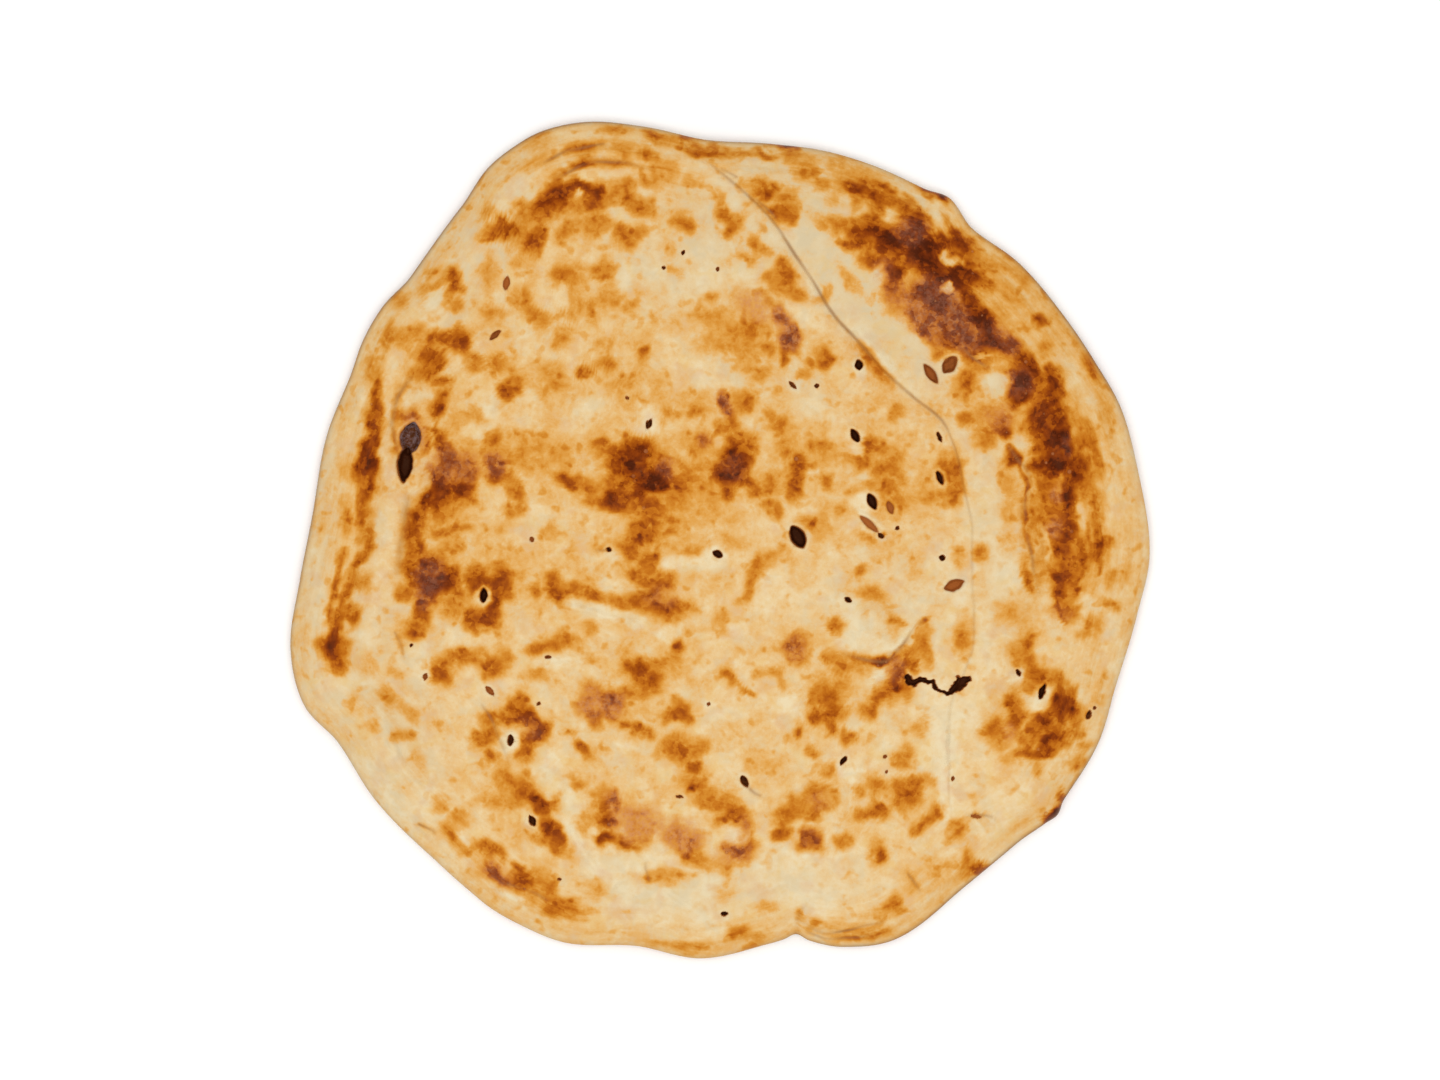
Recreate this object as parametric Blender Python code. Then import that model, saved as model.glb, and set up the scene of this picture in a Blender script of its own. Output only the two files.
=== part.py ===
"""Tamees: a round leavened flatbread from a clay oven, lying flat with its browned face up.

Metres, +Z up. X runs across the loaf's longest width. The origin is at table height, under the middle
of the loaf's outline. The sizes below are in millimetres.
"""

import bisect
import math

import bmesh
import bpy
from mathutils import Matrix, Vector, noise

MM = 0.001

# Driving sizes
CRUMB_THICKNESS = 10.0
EDGE_HEIGHT = 4.6
EDGE_ROUNDING = 12.0
UNDERSIDE_ROUNDING = 17.0
UNDERSIDE_RINGS = (0.06, 0.18, 0.36, 0.62, 1.0)
SQUARES_ACROSS = 60
RIM_CROWDING = 0.8

# The rim as it was pulled by hand, point by point around from the right: x, y
RIM_POINTS = (
    (150.2, -6.0), (146.3, 23.5), (140.0, 46.6), (131.3, 62.0), (119.4, 79.5), (104.0, 97.3),
    (88.2, 108.9), (80.2, 119.6), (71.4, 122.9), (54.6, 130.6), (36.1, 136.2), (17.5, 138.6),
    (-5.0, 140.0), (-26.6, 144.6), (-46.2, 146.3), (-62.0, 143.2), (-71.8, 137.9), (-81.6, 129.9),
    (-90.7, 116.6), (-108.2, 92.4), (-118.0, 81.9), (-125.0, 70.0), (-129.9, 56.4), (-137.6, 37.1),
    (-142.6, 9.8), (-147.2, -14.0), (-150.5, -38.0), (-145.6, -58.1), (-133.7, -71.1),
    (-121.1, -90.7), (-101.5, -110.6), (-88.4, -122.4), (-80.0, -129.2), (-70.4, -134.6),
    (-54.4, -141.0), (-29.8, -142.1), (-7.0, -146.5), (14.4, -142.1), (22.1, -139.9), (26.6, -138.0),
    (31.2, -140.3), (42.7, -142.5), (61.6, -139.7), (85.1, -121.8), (103.6, -106.4), (113.8, -99.2),
    (118.0, -96.3), (120.2, -91.0), (132.3, -71.1), (138.6, -50.4), (146.0, -25.6),
)

# Rolls puffed up along the rim: first and last bearing, crest's inset from the rim, half width, rise
ROLLS = (
    (-36, 84, 27, 17, 5.2),
    (124, 214, 15, 11, 3.6),
    (214, 320, 12, 10, 1.6),
    (92, 122, 13, 10, 2.0),
)
# Valleys between a roll and the middle of the loaf, given in the same way
VALLEYS = (
    (-20, 28, 43, 6, -1.6),
    (138, 206, 28, 7, -2.6),
    (98, 118, 25, 5, -1.4),
)
ROLL_FADE = 16.0

# The long fold, where one flap of dough was laid over the other: its line, x, y, and its rise there
FOLD_LINE = (
    (-10.9, 136.5, 1.4), (6.7, 120.8, 2.4), (24.2, 96.3, 3.0), (38.2, 78.8, 3.0), (52.2, 63.7, 3.0),
    (64.4, 50.8, 2.8), (79.1, 36.1, 2.0), (86.1, 14.0, 1.2), (87.9, -10.5, 1.0), (87.9, -38.5, 1.0),
    (80.2, -59.5, 0.9), (79.5, -80.5, 1.0), (80.2, -100.8, 0.3),
)
FOLD_LIP = 5.0
FOLD_REACH = 24.0

# Blisters raised by the oven's heat: x, y, half length, half width, angle, rise
BLISTERS = (
    (77, 82, 19, 12, -52, 2.6),
    (66, 112, 12, 10, 0, 1.6),
    (117, 30, 20, 8, 100, 1.6),
    (112, -57, 18, 17, 0, 2.8),
    (51, -28, 12, 9, 12, 2.4),
    (36, -56, 9, 8, 0, 1.3),
    (32, -91, 14, 8, 10, 1.4),
    (-27, 25, 14, 11, 0, 2.0),
    (5, 27, 8, 9, 0, 1.3),
    (12, 80, 15, 10, -20, 1.8),
    (-52, 121, 16, 6, 8, 1.8),
    (-96, 66, 12, 7, 25, 1.6),
    (-96, 21, 9, 14, -25, 2.2),
    (-100, -13, 9, 8, 0, 1.6),
    (-82, -18, 13, 12, 0, 1.4),
    (-26, -22, 12, 6, -5, 1.2),
    (-73, -66, 13, 12, 0, 1.6),
    (-66, -97, 14, 7, -50, 1.4),
    (-24, -104, 22, 9, -4, 1.7),
    (-26, -47, 10, 6, 10, 1.2),
)

# Burst blisters and prick marks that are open pits: x, y, half length, half width, angle, depth
PITS = (
    (27.2, 0.9, 4.4, 2.3, -62, 5.0),
    (-108.7, 35.0, 5.0, 2.8, 80, 4.0),
    (-110.0, 24.6, 5.0, 2.2, 82, 5.0),
    (52.7, 13.2, 2.8, 1.3, -62, 4.0),
    (-82.6, -19.6, 2.9, 1.4, 80, 5.0),
    (73.3, 57.5, 4.4, 1.6, -51, 3.2),
    (79.6, 60.7, 3.6, 2.1, 50, 3.4),
    (81.7, -15.8, 3.9, 1.8, 20, 3.0),
    (69.3, -49.4, 4.6, 1.2, -2, 5.0),
    (83.3, -49.4, 3.4, 2.3, 25, 4.0),
    (46.8, 36.2, 2.6, 1.3, -60, 4.0),
    (76.3, 21.5, 2.6, 1.1, -65, 4.0),
    (112.1, -53.2, 2.6, 1.1, 65, 4.0),
    (-73.1, -69.9, 2.6, 1.3, 85, 4.0),
)

# The dough's own unevenness: wavelength, height and seed of each layer
WAVES = ((70.0, 1.5, 3.1), (26.0, 0.8, 7.7))

CRUST_COLOUR = (0.74, 0.43, 0.13, 1.0)
CRUST_ROUGHNESS = 0.6


def clear_scene():
    for obj in list(bpy.data.objects):
        bpy.data.objects.remove(obj)


def new_collection(name):
    collection = bpy.data.collections.new(name)
    bpy.context.scene.collection.children.link(collection)
    return collection


def smooth(t):
    """0 to 1 with level ends, as t goes from 0 to 1."""
    t = min(1.0, max(0.0, t))
    return t * t * (3.0 - 2.0 * t)


def rim_stations():
    """Bearing and reach of every rim point, in order of bearing, and one more at each end to close the ring."""
    ring = sorted((math.atan2(y, x), math.hypot(x, y)) for x, y in RIM_POINTS)
    full = 2.0 * math.pi
    before = [(bearing - full, reach) for bearing, reach in ring[-2:]]
    after = [(bearing + full, reach) for bearing, reach in ring[:2]]
    return before + ring + after


STATIONS = rim_stations()
STATION_BEARINGS = [bearing for bearing, _ in STATIONS]


def rim_reach(bearing):
    """How far the rim is from the middle on this bearing, on a smooth curve through the rim points."""
    i = bisect.bisect_right(STATION_BEARINGS, bearing) - 1
    i = min(max(i, 1), len(STATIONS) - 3)
    (b0, r0), (b1, r1), (b2, r2), (b3, r3) = STATIONS[i - 1:i + 3]
    span = b2 - b1
    t = (bearing - b1) / span
    slope_in = (r2 - r0) / (b2 - b0) * span
    slope_out = (r3 - r1) / (b3 - b1) * span
    return (
        (2 * t**3 - 3 * t**2 + 1) * r1 + (t**3 - 2 * t**2 + t) * slope_in
        + (3 * t**2 - 2 * t**3) * r2 + (t**3 - t**2) * slope_out
    )


def between_bearings(bearing, first, last):
    """1 from the first bearing to the last, in degrees, fading to 0 past either."""
    degrees = math.degrees(bearing)
    while degrees < first - ROLL_FADE:
        degrees += 360.0
    while degrees > last + ROLL_FADE and degrees - 360.0 >= first - ROLL_FADE:
        degrees -= 360.0
    return smooth((degrees - first) / ROLL_FADE + 1.0) * smooth((last - degrees) / ROLL_FADE + 1.0)


def roll_height(bearing, inset):
    total = 0.0
    for first, last, crest, half_width, rise in ROLLS + VALLEYS:
        across = (inset - crest) / half_width
        if abs(across) < 2.5:
            total += rise * math.exp(-across * across) * between_bearings(bearing, first, last)
    return total


def fold_height(x, y):
    """The flap's rise: a lip along the fold's line, sinking back into the loaf on the flap's side."""
    nearest = None
    for (x0, y0, rise0), (x1, y1, rise1) in zip(FOLD_LINE, FOLD_LINE[1:]):
        run_x, run_y = x1 - x0, y1 - y0
        t = ((x - x0) * run_x + (y - y0) * run_y) / (run_x * run_x + run_y * run_y)
        t = min(1.0, max(0.0, t))
        off_x, off_y = x - x0 - t * run_x, y - y0 - t * run_y
        distance = math.hypot(off_x, off_y)
        if nearest is None or distance < nearest[0]:
            side = 1.0 if run_x * off_y - run_y * off_x > 0.0 else -1.0
            nearest = (distance, side, rise0 + (rise1 - rise0) * t)
    distance, side, rise = nearest
    over = smooth(side * distance / FOLD_LIP + 0.5)
    return rise * over * math.exp(-(distance / FOLD_REACH) ** 2)


def blister_height(x, y):
    total = 0.0
    for middle_x, middle_y, half_length, half_width, angle, rise in BLISTERS:
        turn = math.radians(angle)
        along = (x - middle_x) * math.cos(turn) + (y - middle_y) * math.sin(turn)
        across = (y - middle_y) * math.cos(turn) - (x - middle_x) * math.sin(turn)
        spread = (along / half_length) ** 2 + (across / half_width) ** 2
        if spread < 1.0:
            total += rise * (1.0 - spread) ** 2
    return total


def wave_height(x, y):
    return sum(
        height * noise.noise(Vector((x / length, y / length, seed)))
        for length, height, seed in WAVES
    )


def crust_height(x, y):
    """Height of the browned face above the table at x, y."""
    bearing = math.atan2(y, x)
    inset = max(0.0, rim_reach(bearing) - math.hypot(x, y))
    full = (
        CRUMB_THICKNESS + roll_height(bearing, inset) + fold_height(x, y)
        + blister_height(x, y) + wave_height(x, y)
    )
    t = 1.0 - min(1.0, inset / EDGE_ROUNDING)
    return EDGE_HEIGHT + (full - EDGE_HEIGHT) * math.sqrt(1.0 - t * t)


def square_to_rim(u, v):
    """A point of the square from -1 to 1 as bearing and share of the rim's reach, its rings kept as rings."""
    if u == 0.0 and v == 0.0:
        return 0.0, 0.0
    if abs(u) >= abs(v):
        ring, bearing = abs(u), math.pi / 4.0 * v / u
        if u < 0.0:
            bearing += math.pi
    else:
        ring, bearing = abs(v), math.pi / 2.0 - math.pi / 4.0 * u / v
        if v < 0.0:
            bearing += math.pi
    quarter = math.pi / 2.0 * RIM_CROWDING
    share = math.sin(ring * quarter) / math.sin(quarter)
    return math.remainder(bearing, 2.0 * math.pi), share


def build_loaf():
    """A square grid drawn out to the rim and raised to the crust, then turned under to the flat base."""
    mesh = bmesh.new()
    bmesh.ops.create_grid(
        mesh, x_segments=SQUARES_ACROSS, y_segments=SQUARES_ACROSS, size=1.0
    )
    for vert in mesh.verts:
        bearing, share = square_to_rim(round(vert.co.x, 6), round(vert.co.y, 6))
        reach = share * rim_reach(bearing)
        x, y = reach * math.cos(bearing), reach * math.sin(bearing)
        vert.co = (x, y, crust_height(x, y))

    edges = [edge for edge in mesh.edges if edge.is_boundary]
    for ring in UNDERSIDE_RINGS:
        made = bmesh.ops.extrude_edge_only(mesh, edges=edges)["geom"]
        edges = [item for item in made if isinstance(item, bmesh.types.BMEdge)]
        for vert in {vert for edge in edges for vert in edge.verts}:
            bearing = math.atan2(vert.co.y, vert.co.x)
            reach = rim_reach(bearing) - ring * UNDERSIDE_ROUNDING
            height = EDGE_HEIGHT * (1.0 - math.sqrt(1.0 - (1.0 - ring) ** 2))
            vert.co = (reach * math.cos(bearing), reach * math.sin(bearing), height)
    bmesh.ops.edgeloop_fill(mesh, edges=edges)
    bmesh.ops.recalc_face_normals(mesh, faces=mesh.faces)

    low_x, high_x = (pick(vert.co.x for vert in mesh.verts) for pick in (min, max))
    low_y, high_y = (pick(vert.co.y for vert in mesh.verts) for pick in (min, max))
    middle = Vector(((low_x + high_x) / 2.0, (low_y + high_y) / 2.0, 0.0))
    bmesh.ops.translate(mesh, verts=mesh.verts, vec=-middle)
    bmesh.ops.scale(mesh, verts=mesh.verts, vec=(MM, MM, MM))

    data = bpy.data.meshes.new("tamees_loaf")
    mesh.to_mesh(data)
    mesh.free()
    return data, middle


def build_pit(number, pit, middle):
    """An egg-shaped cutter for one open pit, sunk through the crust to the pit's depth."""
    x, y, half_length, half_width, angle, depth = pit
    mesh = bmesh.new()
    bmesh.ops.create_icosphere(mesh, subdivisions=2, radius=1.0)
    data = bpy.data.meshes.new(f"pit_cutter_{number}")
    mesh.to_mesh(data)
    mesh.free()
    cutter = bpy.data.objects.new(data.name, data)
    size = Matrix.Diagonal((half_length * MM, half_width * MM, depth * MM, 1.0))
    data.transform(Matrix.Rotation(math.radians(angle), 4, "Z") @ size)
    cutter.location = (
        (x - middle.x) * MM, (y - middle.y) * MM, crust_height(x, y) * MM
    )
    cutter.hide_render = True
    cutter.display_type = "WIRE"
    return cutter


def crust_material():
    material = bpy.data.materials.new("baked_crust")
    material.use_nodes = True
    shader = material.node_tree.nodes["Principled BSDF"]
    shader.inputs["Base Color"].default_value = CRUST_COLOUR
    shader.inputs["Roughness"].default_value = CRUST_ROUGHNESS
    shader.inputs["Metallic"].default_value = 0.0
    material.diffuse_color = CRUST_COLOUR
    return material


def main():
    clear_scene()
    parts = new_collection("tamees")
    cutters = new_collection("tamees_cutters")

    data, middle = build_loaf()
    loaf = bpy.data.objects.new("tamees_loaf", data)
    loaf.data.materials.append(crust_material())
    loaf.data.shade_smooth()
    parts.objects.link(loaf)

    for number, pit in enumerate(PITS, start=1):
        cutters.objects.link(build_pit(number, pit, middle))
    burst = loaf.modifiers.new("burst_blisters", "BOOLEAN")
    burst.operation = "DIFFERENCE"
    burst.operand_type = "COLLECTION"
    burst.collection = cutters
    burst.solver = "EXACT"


main()
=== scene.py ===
"""A tamees, the round leavened flatbread of a clay oven, as it looks: baked, browned and blistered.

Distances here are in millimetres until a mesh is finished, and then metres, like the frame.
"""

import math
from collections import namedtuple

import bmesh
import bpy
import numpy as np
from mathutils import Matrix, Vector, noise


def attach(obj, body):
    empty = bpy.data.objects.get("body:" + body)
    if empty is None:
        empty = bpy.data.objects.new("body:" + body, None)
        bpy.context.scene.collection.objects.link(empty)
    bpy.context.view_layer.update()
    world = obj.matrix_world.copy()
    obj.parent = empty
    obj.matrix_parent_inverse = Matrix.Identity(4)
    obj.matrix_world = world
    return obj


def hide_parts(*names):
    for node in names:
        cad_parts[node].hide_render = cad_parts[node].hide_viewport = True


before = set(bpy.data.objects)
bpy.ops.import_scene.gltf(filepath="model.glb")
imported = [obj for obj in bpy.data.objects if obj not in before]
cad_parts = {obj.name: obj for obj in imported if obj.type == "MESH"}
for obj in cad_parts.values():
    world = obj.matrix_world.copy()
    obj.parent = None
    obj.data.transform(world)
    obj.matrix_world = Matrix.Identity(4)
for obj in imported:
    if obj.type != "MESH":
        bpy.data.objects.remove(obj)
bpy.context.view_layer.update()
MM = 0.001

# The table is a plain near-white sheet. It lies just under the loaf, which rests on it with no
# plate or board, and it runs far enough for every side view.
TABLE_HALF_WIDTH = 4000.0
TABLE_DROP = 0.15
TABLE_WHITE = (0.93, 0.93, 0.93, 1.0)

table_mesh = bmesh.new()
bmesh.ops.create_grid(table_mesh, x_segments=1, y_segments=1, size=TABLE_HALF_WIDTH * MM)
bmesh.ops.translate(table_mesh, verts=table_mesh.verts, vec=(0.0, 0.0, -TABLE_DROP * MM))
table_data = bpy.data.meshes.new("table_top")
table_mesh.to_mesh(table_data)
table_mesh.free()
table_finish = bpy.data.materials.new("matt_white_sheet")
table_finish.use_nodes = True
table_shader = table_finish.node_tree.nodes["Principled BSDF"]
table_shader.inputs["Base Color"].default_value = TABLE_WHITE
table_shader.inputs["Roughness"].default_value = 0.9
table_shader.inputs["Specular IOR Level"].default_value = 0.1
table_data.materials.append(table_finish)
table = bpy.data.objects.new("table_top", table_data)
bpy.context.scene.collection.objects.link(table)

# The light is a big softbox overhead, a little to the left of the loaf and out past its near edge,
# in a bright white room. It gives the fold's lip and the prick holes a soft shade, no more.
ROOM_BRIGHTNESS = 0.84
SOFTBOX_PLACE = (-20.0, -110.0, 1200.0)
SOFTBOX_SIDE = 740.0
SOFTBOX_WATTS = 6.5

room = bpy.data.worlds.new("white_room")
room.use_nodes = True
room.node_tree.nodes["Background"].inputs["Color"].default_value = (1.0, 1.0, 1.0, 1.0)
room.node_tree.nodes["Background"].inputs["Strength"].default_value = ROOM_BRIGHTNESS
bpy.context.scene.world = room
softbox_data = bpy.data.lights.new("softbox", "AREA")
softbox_data.shape = "SQUARE"
softbox_data.size = SOFTBOX_SIDE * MM
softbox_data.energy = SOFTBOX_WATTS
softbox = bpy.data.objects.new("softbox", softbox_data)
softbox.location = Vector(SOFTBOX_PLACE) * MM
softbox.rotation_euler = softbox.location.to_track_quat("Z", "Y").to_euler()
bpy.context.scene.collection.objects.link(softbox)

# The camera looks straight down on the loaf, far enough off that the rim hardly spreads, and takes
# in a frame 504 mm wide at the height of the rim.
CAMERA_HEIGHT = 1400.0
FRAME_WIDTH = 504.0
RIM_HEIGHT = 4.6
SENSOR_WIDTH = 36.0

camera_data = bpy.data.cameras.new("overhead_camera")
camera_data.sensor_width = SENSOR_WIDTH
camera_data.lens = SENSOR_WIDTH * CAMERA_HEIGHT / FRAME_WIDTH
camera_data.clip_end = 50.0
camera = bpy.data.objects.new("overhead_camera", camera_data)
camera.location = (0.0, 0.0, (CAMERA_HEIGHT + RIM_HEIGHT) * MM)
bpy.context.scene.collection.objects.link(camera)
bpy.context.scene.camera = camera
bpy.context.scene.view_settings.view_transform = "Standard"

# The loaf's outline is the rim as the baker's hands stretched it. The points go around from the
# right, x and y, and the rim is a smooth curve through them.
RIM_POINTS = (
    (150.2, -6.0), (146.3, 23.5), (140.0, 46.6), (131.3, 62.0), (119.4, 79.5), (104.0, 97.3),
    (88.2, 108.9), (80.2, 119.6), (71.4, 122.9), (54.6, 130.6), (36.1, 136.2), (17.5, 138.6),
    (-5.0, 140.0), (-26.6, 144.6), (-46.2, 146.3), (-62.0, 143.2), (-71.8, 137.9), (-81.6, 129.9),
    (-90.7, 116.6), (-108.2, 92.4), (-118.0, 81.9), (-125.0, 70.0), (-129.9, 56.4), (-137.6, 37.1),
    (-142.6, 9.8), (-147.2, -14.0), (-150.5, -38.0), (-145.6, -58.1), (-133.7, -71.1),
    (-121.1, -90.7), (-101.5, -110.6), (-88.4, -122.4), (-80.0, -129.2), (-70.4, -134.6),
    (-54.4, -141.0), (-29.8, -142.1), (-7.0, -146.5), (14.4, -142.1), (22.1, -139.9), (26.6, -138.0),
    (31.2, -140.3), (42.7, -142.5), (61.6, -139.7), (85.1, -121.8), (103.6, -106.4), (113.8, -99.2),
    (118.0, -96.3), (120.2, -91.0), (132.3, -71.1), (138.6, -50.4), (146.0, -25.6),
)
FULL_TURN = 2.0 * math.pi


def ease(low, high, value):
    """0 at low to 1 at high, with level ends."""
    t = np.clip((value - low) / (high - low), 0.0, 1.0)
    return t * t * (3.0 - 2.0 * t)


rim_ring = np.array(sorted((math.atan2(y, x), math.hypot(x, y)) for x, y in RIM_POINTS))
rim_ring = np.concatenate([
    rim_ring[-2:] - (FULL_TURN, 0.0), rim_ring, rim_ring[:2] + (FULL_TURN, 0.0)
])


def rim_reach(bearing):
    """How far the rim is from the middle on these bearings."""
    i = np.searchsorted(rim_ring[:, 0], bearing, side="right") - 1
    i = np.clip(i, 1, len(rim_ring) - 3)
    (b0, r0), (b1, r1), (b2, r2), (b3, r3) = (rim_ring[i + step].T for step in (-1, 0, 1, 2))
    t = (bearing - b1) / (b2 - b1)
    slope_in = (r2 - r0) / (b2 - b0) * (b2 - b1)
    slope_out = (r3 - r1) / (b3 - b1) * (b2 - b1)
    return (
        (2 * t**3 - 3 * t**2 + 1) * r1 + (t**3 - 2 * t**2 + t) * slope_in
        + (3 * t**2 - 2 * t**3) * r2 + (t**3 - t**2) * slope_out
    )


all_round = np.linspace(-math.pi, math.pi, 2881)
rim_x = rim_reach(all_round) * np.cos(all_round)
rim_y = rim_reach(all_round) * np.sin(all_round)
OUTLINE_MIDDLE = ((rim_x.min() + rim_x.max()) / 2.0, (rim_y.min() + rim_y.max()) / 2.0)

# The dough's main forms: rolls that puffed up along the rim, valleys inside them, the flap that was
# folded over from the upper right, and blisters raised by the oven's heat.
CRUMB_THICKNESS = 10.0
EDGE_HEIGHT = 4.6
EDGE_ROUNDING = 12.0
UNDERSIDE_ROUNDING = 17.0
ROLL_FADE = 16.0
# First and last bearing, crest's inset from the rim, half width, rise
ROLLS_AND_VALLEYS = (
    (-36, 84, 27, 17, 5.2),
    (124, 214, 15, 11, 3.6),
    (214, 320, 12, 10, 1.6),
    (92, 122, 13, 10, 2.0),
    (-20, 28, 43, 6, -1.6),
    (138, 206, 28, 7, -2.6),
    (98, 118, 25, 5, -1.4),
)
# The fold's line, x, y, and its rise there
FOLD_LINE = (
    (-10.9, 136.5, 1.2), (4.0, 124.4, 1.8), (17.0, 112.0, 2.0), (26.2, 98.6, 2.6), (33.5, 87.8, 3.0),
    (39.8, 77.8, 3.0), (47.3, 69.8, 3.0), (57.0, 58.8, 2.8), (67.9, 49.0, 2.4), (79.1, 38.6, 1.8),
    (86.1, 14.0, 1.2), (87.9, -10.5, 1.0), (87.9, -38.5, 1.0), (80.2, -59.5, 0.9), (79.5, -80.5, 1.0),
    (80.2, -100.8, 0.3),
)
FOLD_LIP = 1.3
FOLD_LINE_WIDTH = 0.6
FOLD_REACH = 24.0
# x, y, half length, half width, angle, rise
BLISTERS = (
    (77, 82, 19, 12, -52, 2.6),
    (66, 112, 12, 10, 0, 1.6),
    (117, 30, 20, 8, 100, 1.6),
    (112, -57, 18, 17, 0, 2.8),
    (51, -28, 12, 9, 12, 2.4),
    (36, -56, 9, 8, 0, 1.3),
    (32, -91, 14, 8, 10, 1.4),
    (-27, 25, 14, 11, 0, 2.0),
    (5, 27, 8, 9, 0, 1.3),
    (12, 80, 15, 10, -20, 1.8),
    (-52, 121, 16, 6, 8, 1.8),
    (-96, 66, 12, 7, 25, 1.6),
    (-96, 21, 9, 14, -25, 2.2),
    (-100, -13, 9, 8, 0, 1.6),
    (-82, -18, 13, 12, 0, 1.4),
    (-26, -22, 12, 6, -5, 1.2),
    (-73, -66, 13, 12, 0, 1.6),
    (-66, -97, 14, 7, -50, 1.4),
    (-24, -104, 22, 9, -4, 1.7),
    (-26, -47, 10, 6, 10, 1.2),
)
# Wavelength, height and seed of each layer of the dough's unevenness
WAVES = ((70.0, 1.5, 3.1), (26.0, 0.8, 7.7))


def roll_height(bearing, inset):
    total = np.zeros_like(inset)
    for first, last, crest, half_width, rise in ROLLS_AND_VALLEYS:
        start = first - ROLL_FADE
        turned = start + (np.degrees(bearing) - start) % 360.0
        along = ease(start, first, turned) * (1.0 - ease(last, last + ROLL_FADE, turned))
        total += rise * along * np.exp(-((inset - crest) / half_width) ** 2)
    return total


def along_line(x, y, line):
    """Distance to a line of points, its side (1 is left of its run), and the line's third value there."""
    distance, side, value = np.full_like(x, np.inf), np.ones_like(x), np.zeros_like(x)
    for (x0, y0, value0), (x1, y1, value1) in zip(line, line[1:]):
        run_x, run_y = x1 - x0, y1 - y0
        t = ((x - x0) * run_x + (y - y0) * run_y) / (run_x * run_x + run_y * run_y)
        t = np.clip(t, 0.0, 1.0)
        off_x, off_y = x - x0 - t * run_x, y - y0 - t * run_y
        off = np.hypot(off_x, off_y)
        nearer = off < distance
        distance = np.where(nearer, off, distance)
        side = np.where(nearer, np.where(run_x * off_y - run_y * off_x > 0.0, 1.0, -1.0), side)
        value = np.where(nearer, value0 + (value1 - value0) * t, value)
    return distance, side, value


def rounded(line, steps=5):
    """The same line drawn as a smooth curve through its points."""
    points = np.array([line[0], *line, line[-1]], float)
    t = (np.arange(steps) / steps)[:, None]
    drawn = [
        0.5 * (
            2 * b + (c - a) * t + (2 * a - 5 * b + 4 * c - d) * t**2 + (3 * b - a - 3 * c + d) * t**3
        )
        for a, b, c, d in zip(points, points[1:], points[2:], points[3:])
    ]
    return np.concatenate([*drawn, points[-1:]]).tolist()


def lumps(x, y, size, seed):
    """A smooth random field, about -1 to 1, with lumps of this size."""
    angles = np.random.default_rng(seed).uniform(0.0, FULL_TURN, (64, 64))
    cell_x, cell_y = np.floor(x / size), np.floor(y / size)
    in_x, in_y = x / size - cell_x, y / size - cell_y
    column, row = cell_x.astype(int), cell_y.astype(int)

    def pull(step_x, step_y):
        angle = angles[(column + step_x) % 64, (row + step_y) % 64]
        return np.cos(angle) * (in_x - step_x) + np.sin(angle) * (in_y - step_y)

    blend_x, blend_y = ease(0.0, 1.0, in_x), ease(0.0, 1.0, in_y)
    low = pull(0, 0) * (1.0 - blend_x) + pull(1, 0) * blend_x
    high = pull(0, 1) * (1.0 - blend_x) + pull(1, 1) * blend_x
    return 1.5 * (low * (1.0 - blend_y) + high * blend_y)


def unevenness(x, y, strength, size, seed, layers=1):
    """Lumps on lumps: each layer's are half the size and a little over half the height of the last."""
    return strength * sum(0.55**n * lumps(x, y, size * 0.5**n, seed + n) for n in range(layers))


FOLD_CURVE = rounded(FOLD_LINE)
# Strength, size of the lumps, seed and number of layers, if more than one, as in every unevenness below
FOLD_WANDER = (0.9, 13.0, 75)
# How far each side of its line the lip rises, in shares of its width
LIP_SIDE = 0.5
# The rise at which a fold's line starts to show, and the rise at which it shows fully
LINE_SHOWS = (0.6, 2.6)


def fold_fields(x, y):
    """The fold's height, and how near its line the place is."""
    wander = unevenness(x, y, *FOLD_WANDER)
    distance, side, rise = along_line(x + wander, y - wander, FOLD_CURVE)
    lip = ease(-LIP_SIDE, LIP_SIDE, side * distance / FOLD_LIP) * np.exp(-(distance / FOLD_REACH) ** 2)
    return rise * lip, np.exp(-(distance / FOLD_LINE_WIDTH) ** 2) * ease(*LINE_SHOWS, rise)


def oval(x, y, middle_x, middle_y, half_length, half_width, angle):
    """Distance from the middle of an oval, in shares of its size, and the place along and across it."""
    turn = math.radians(angle)
    off_x, off_y = x - middle_x, y - middle_y
    along = (off_x * math.cos(turn) + off_y * math.sin(turn)) / half_length
    across = (off_y * math.cos(turn) - off_x * math.sin(turn)) / half_width
    return np.hypot(along, across), along, across


def blister_height(x, y):
    total = np.zeros_like(x)
    for *place, rise in BLISTERS:
        share, _, _ = oval(x, y, *place)
        total += rise * np.clip(1.0 - share**2, 0.0, 1.0) ** 2
    return total


def wave_height(x, y):
    places = list(zip(x.tolist(), y.tolist()))
    return sum(
        height * np.array([noise.noise(Vector((px / length, py / length, seed))) for px, py in places])
        for length, height, seed in WAVES
    )


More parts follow.
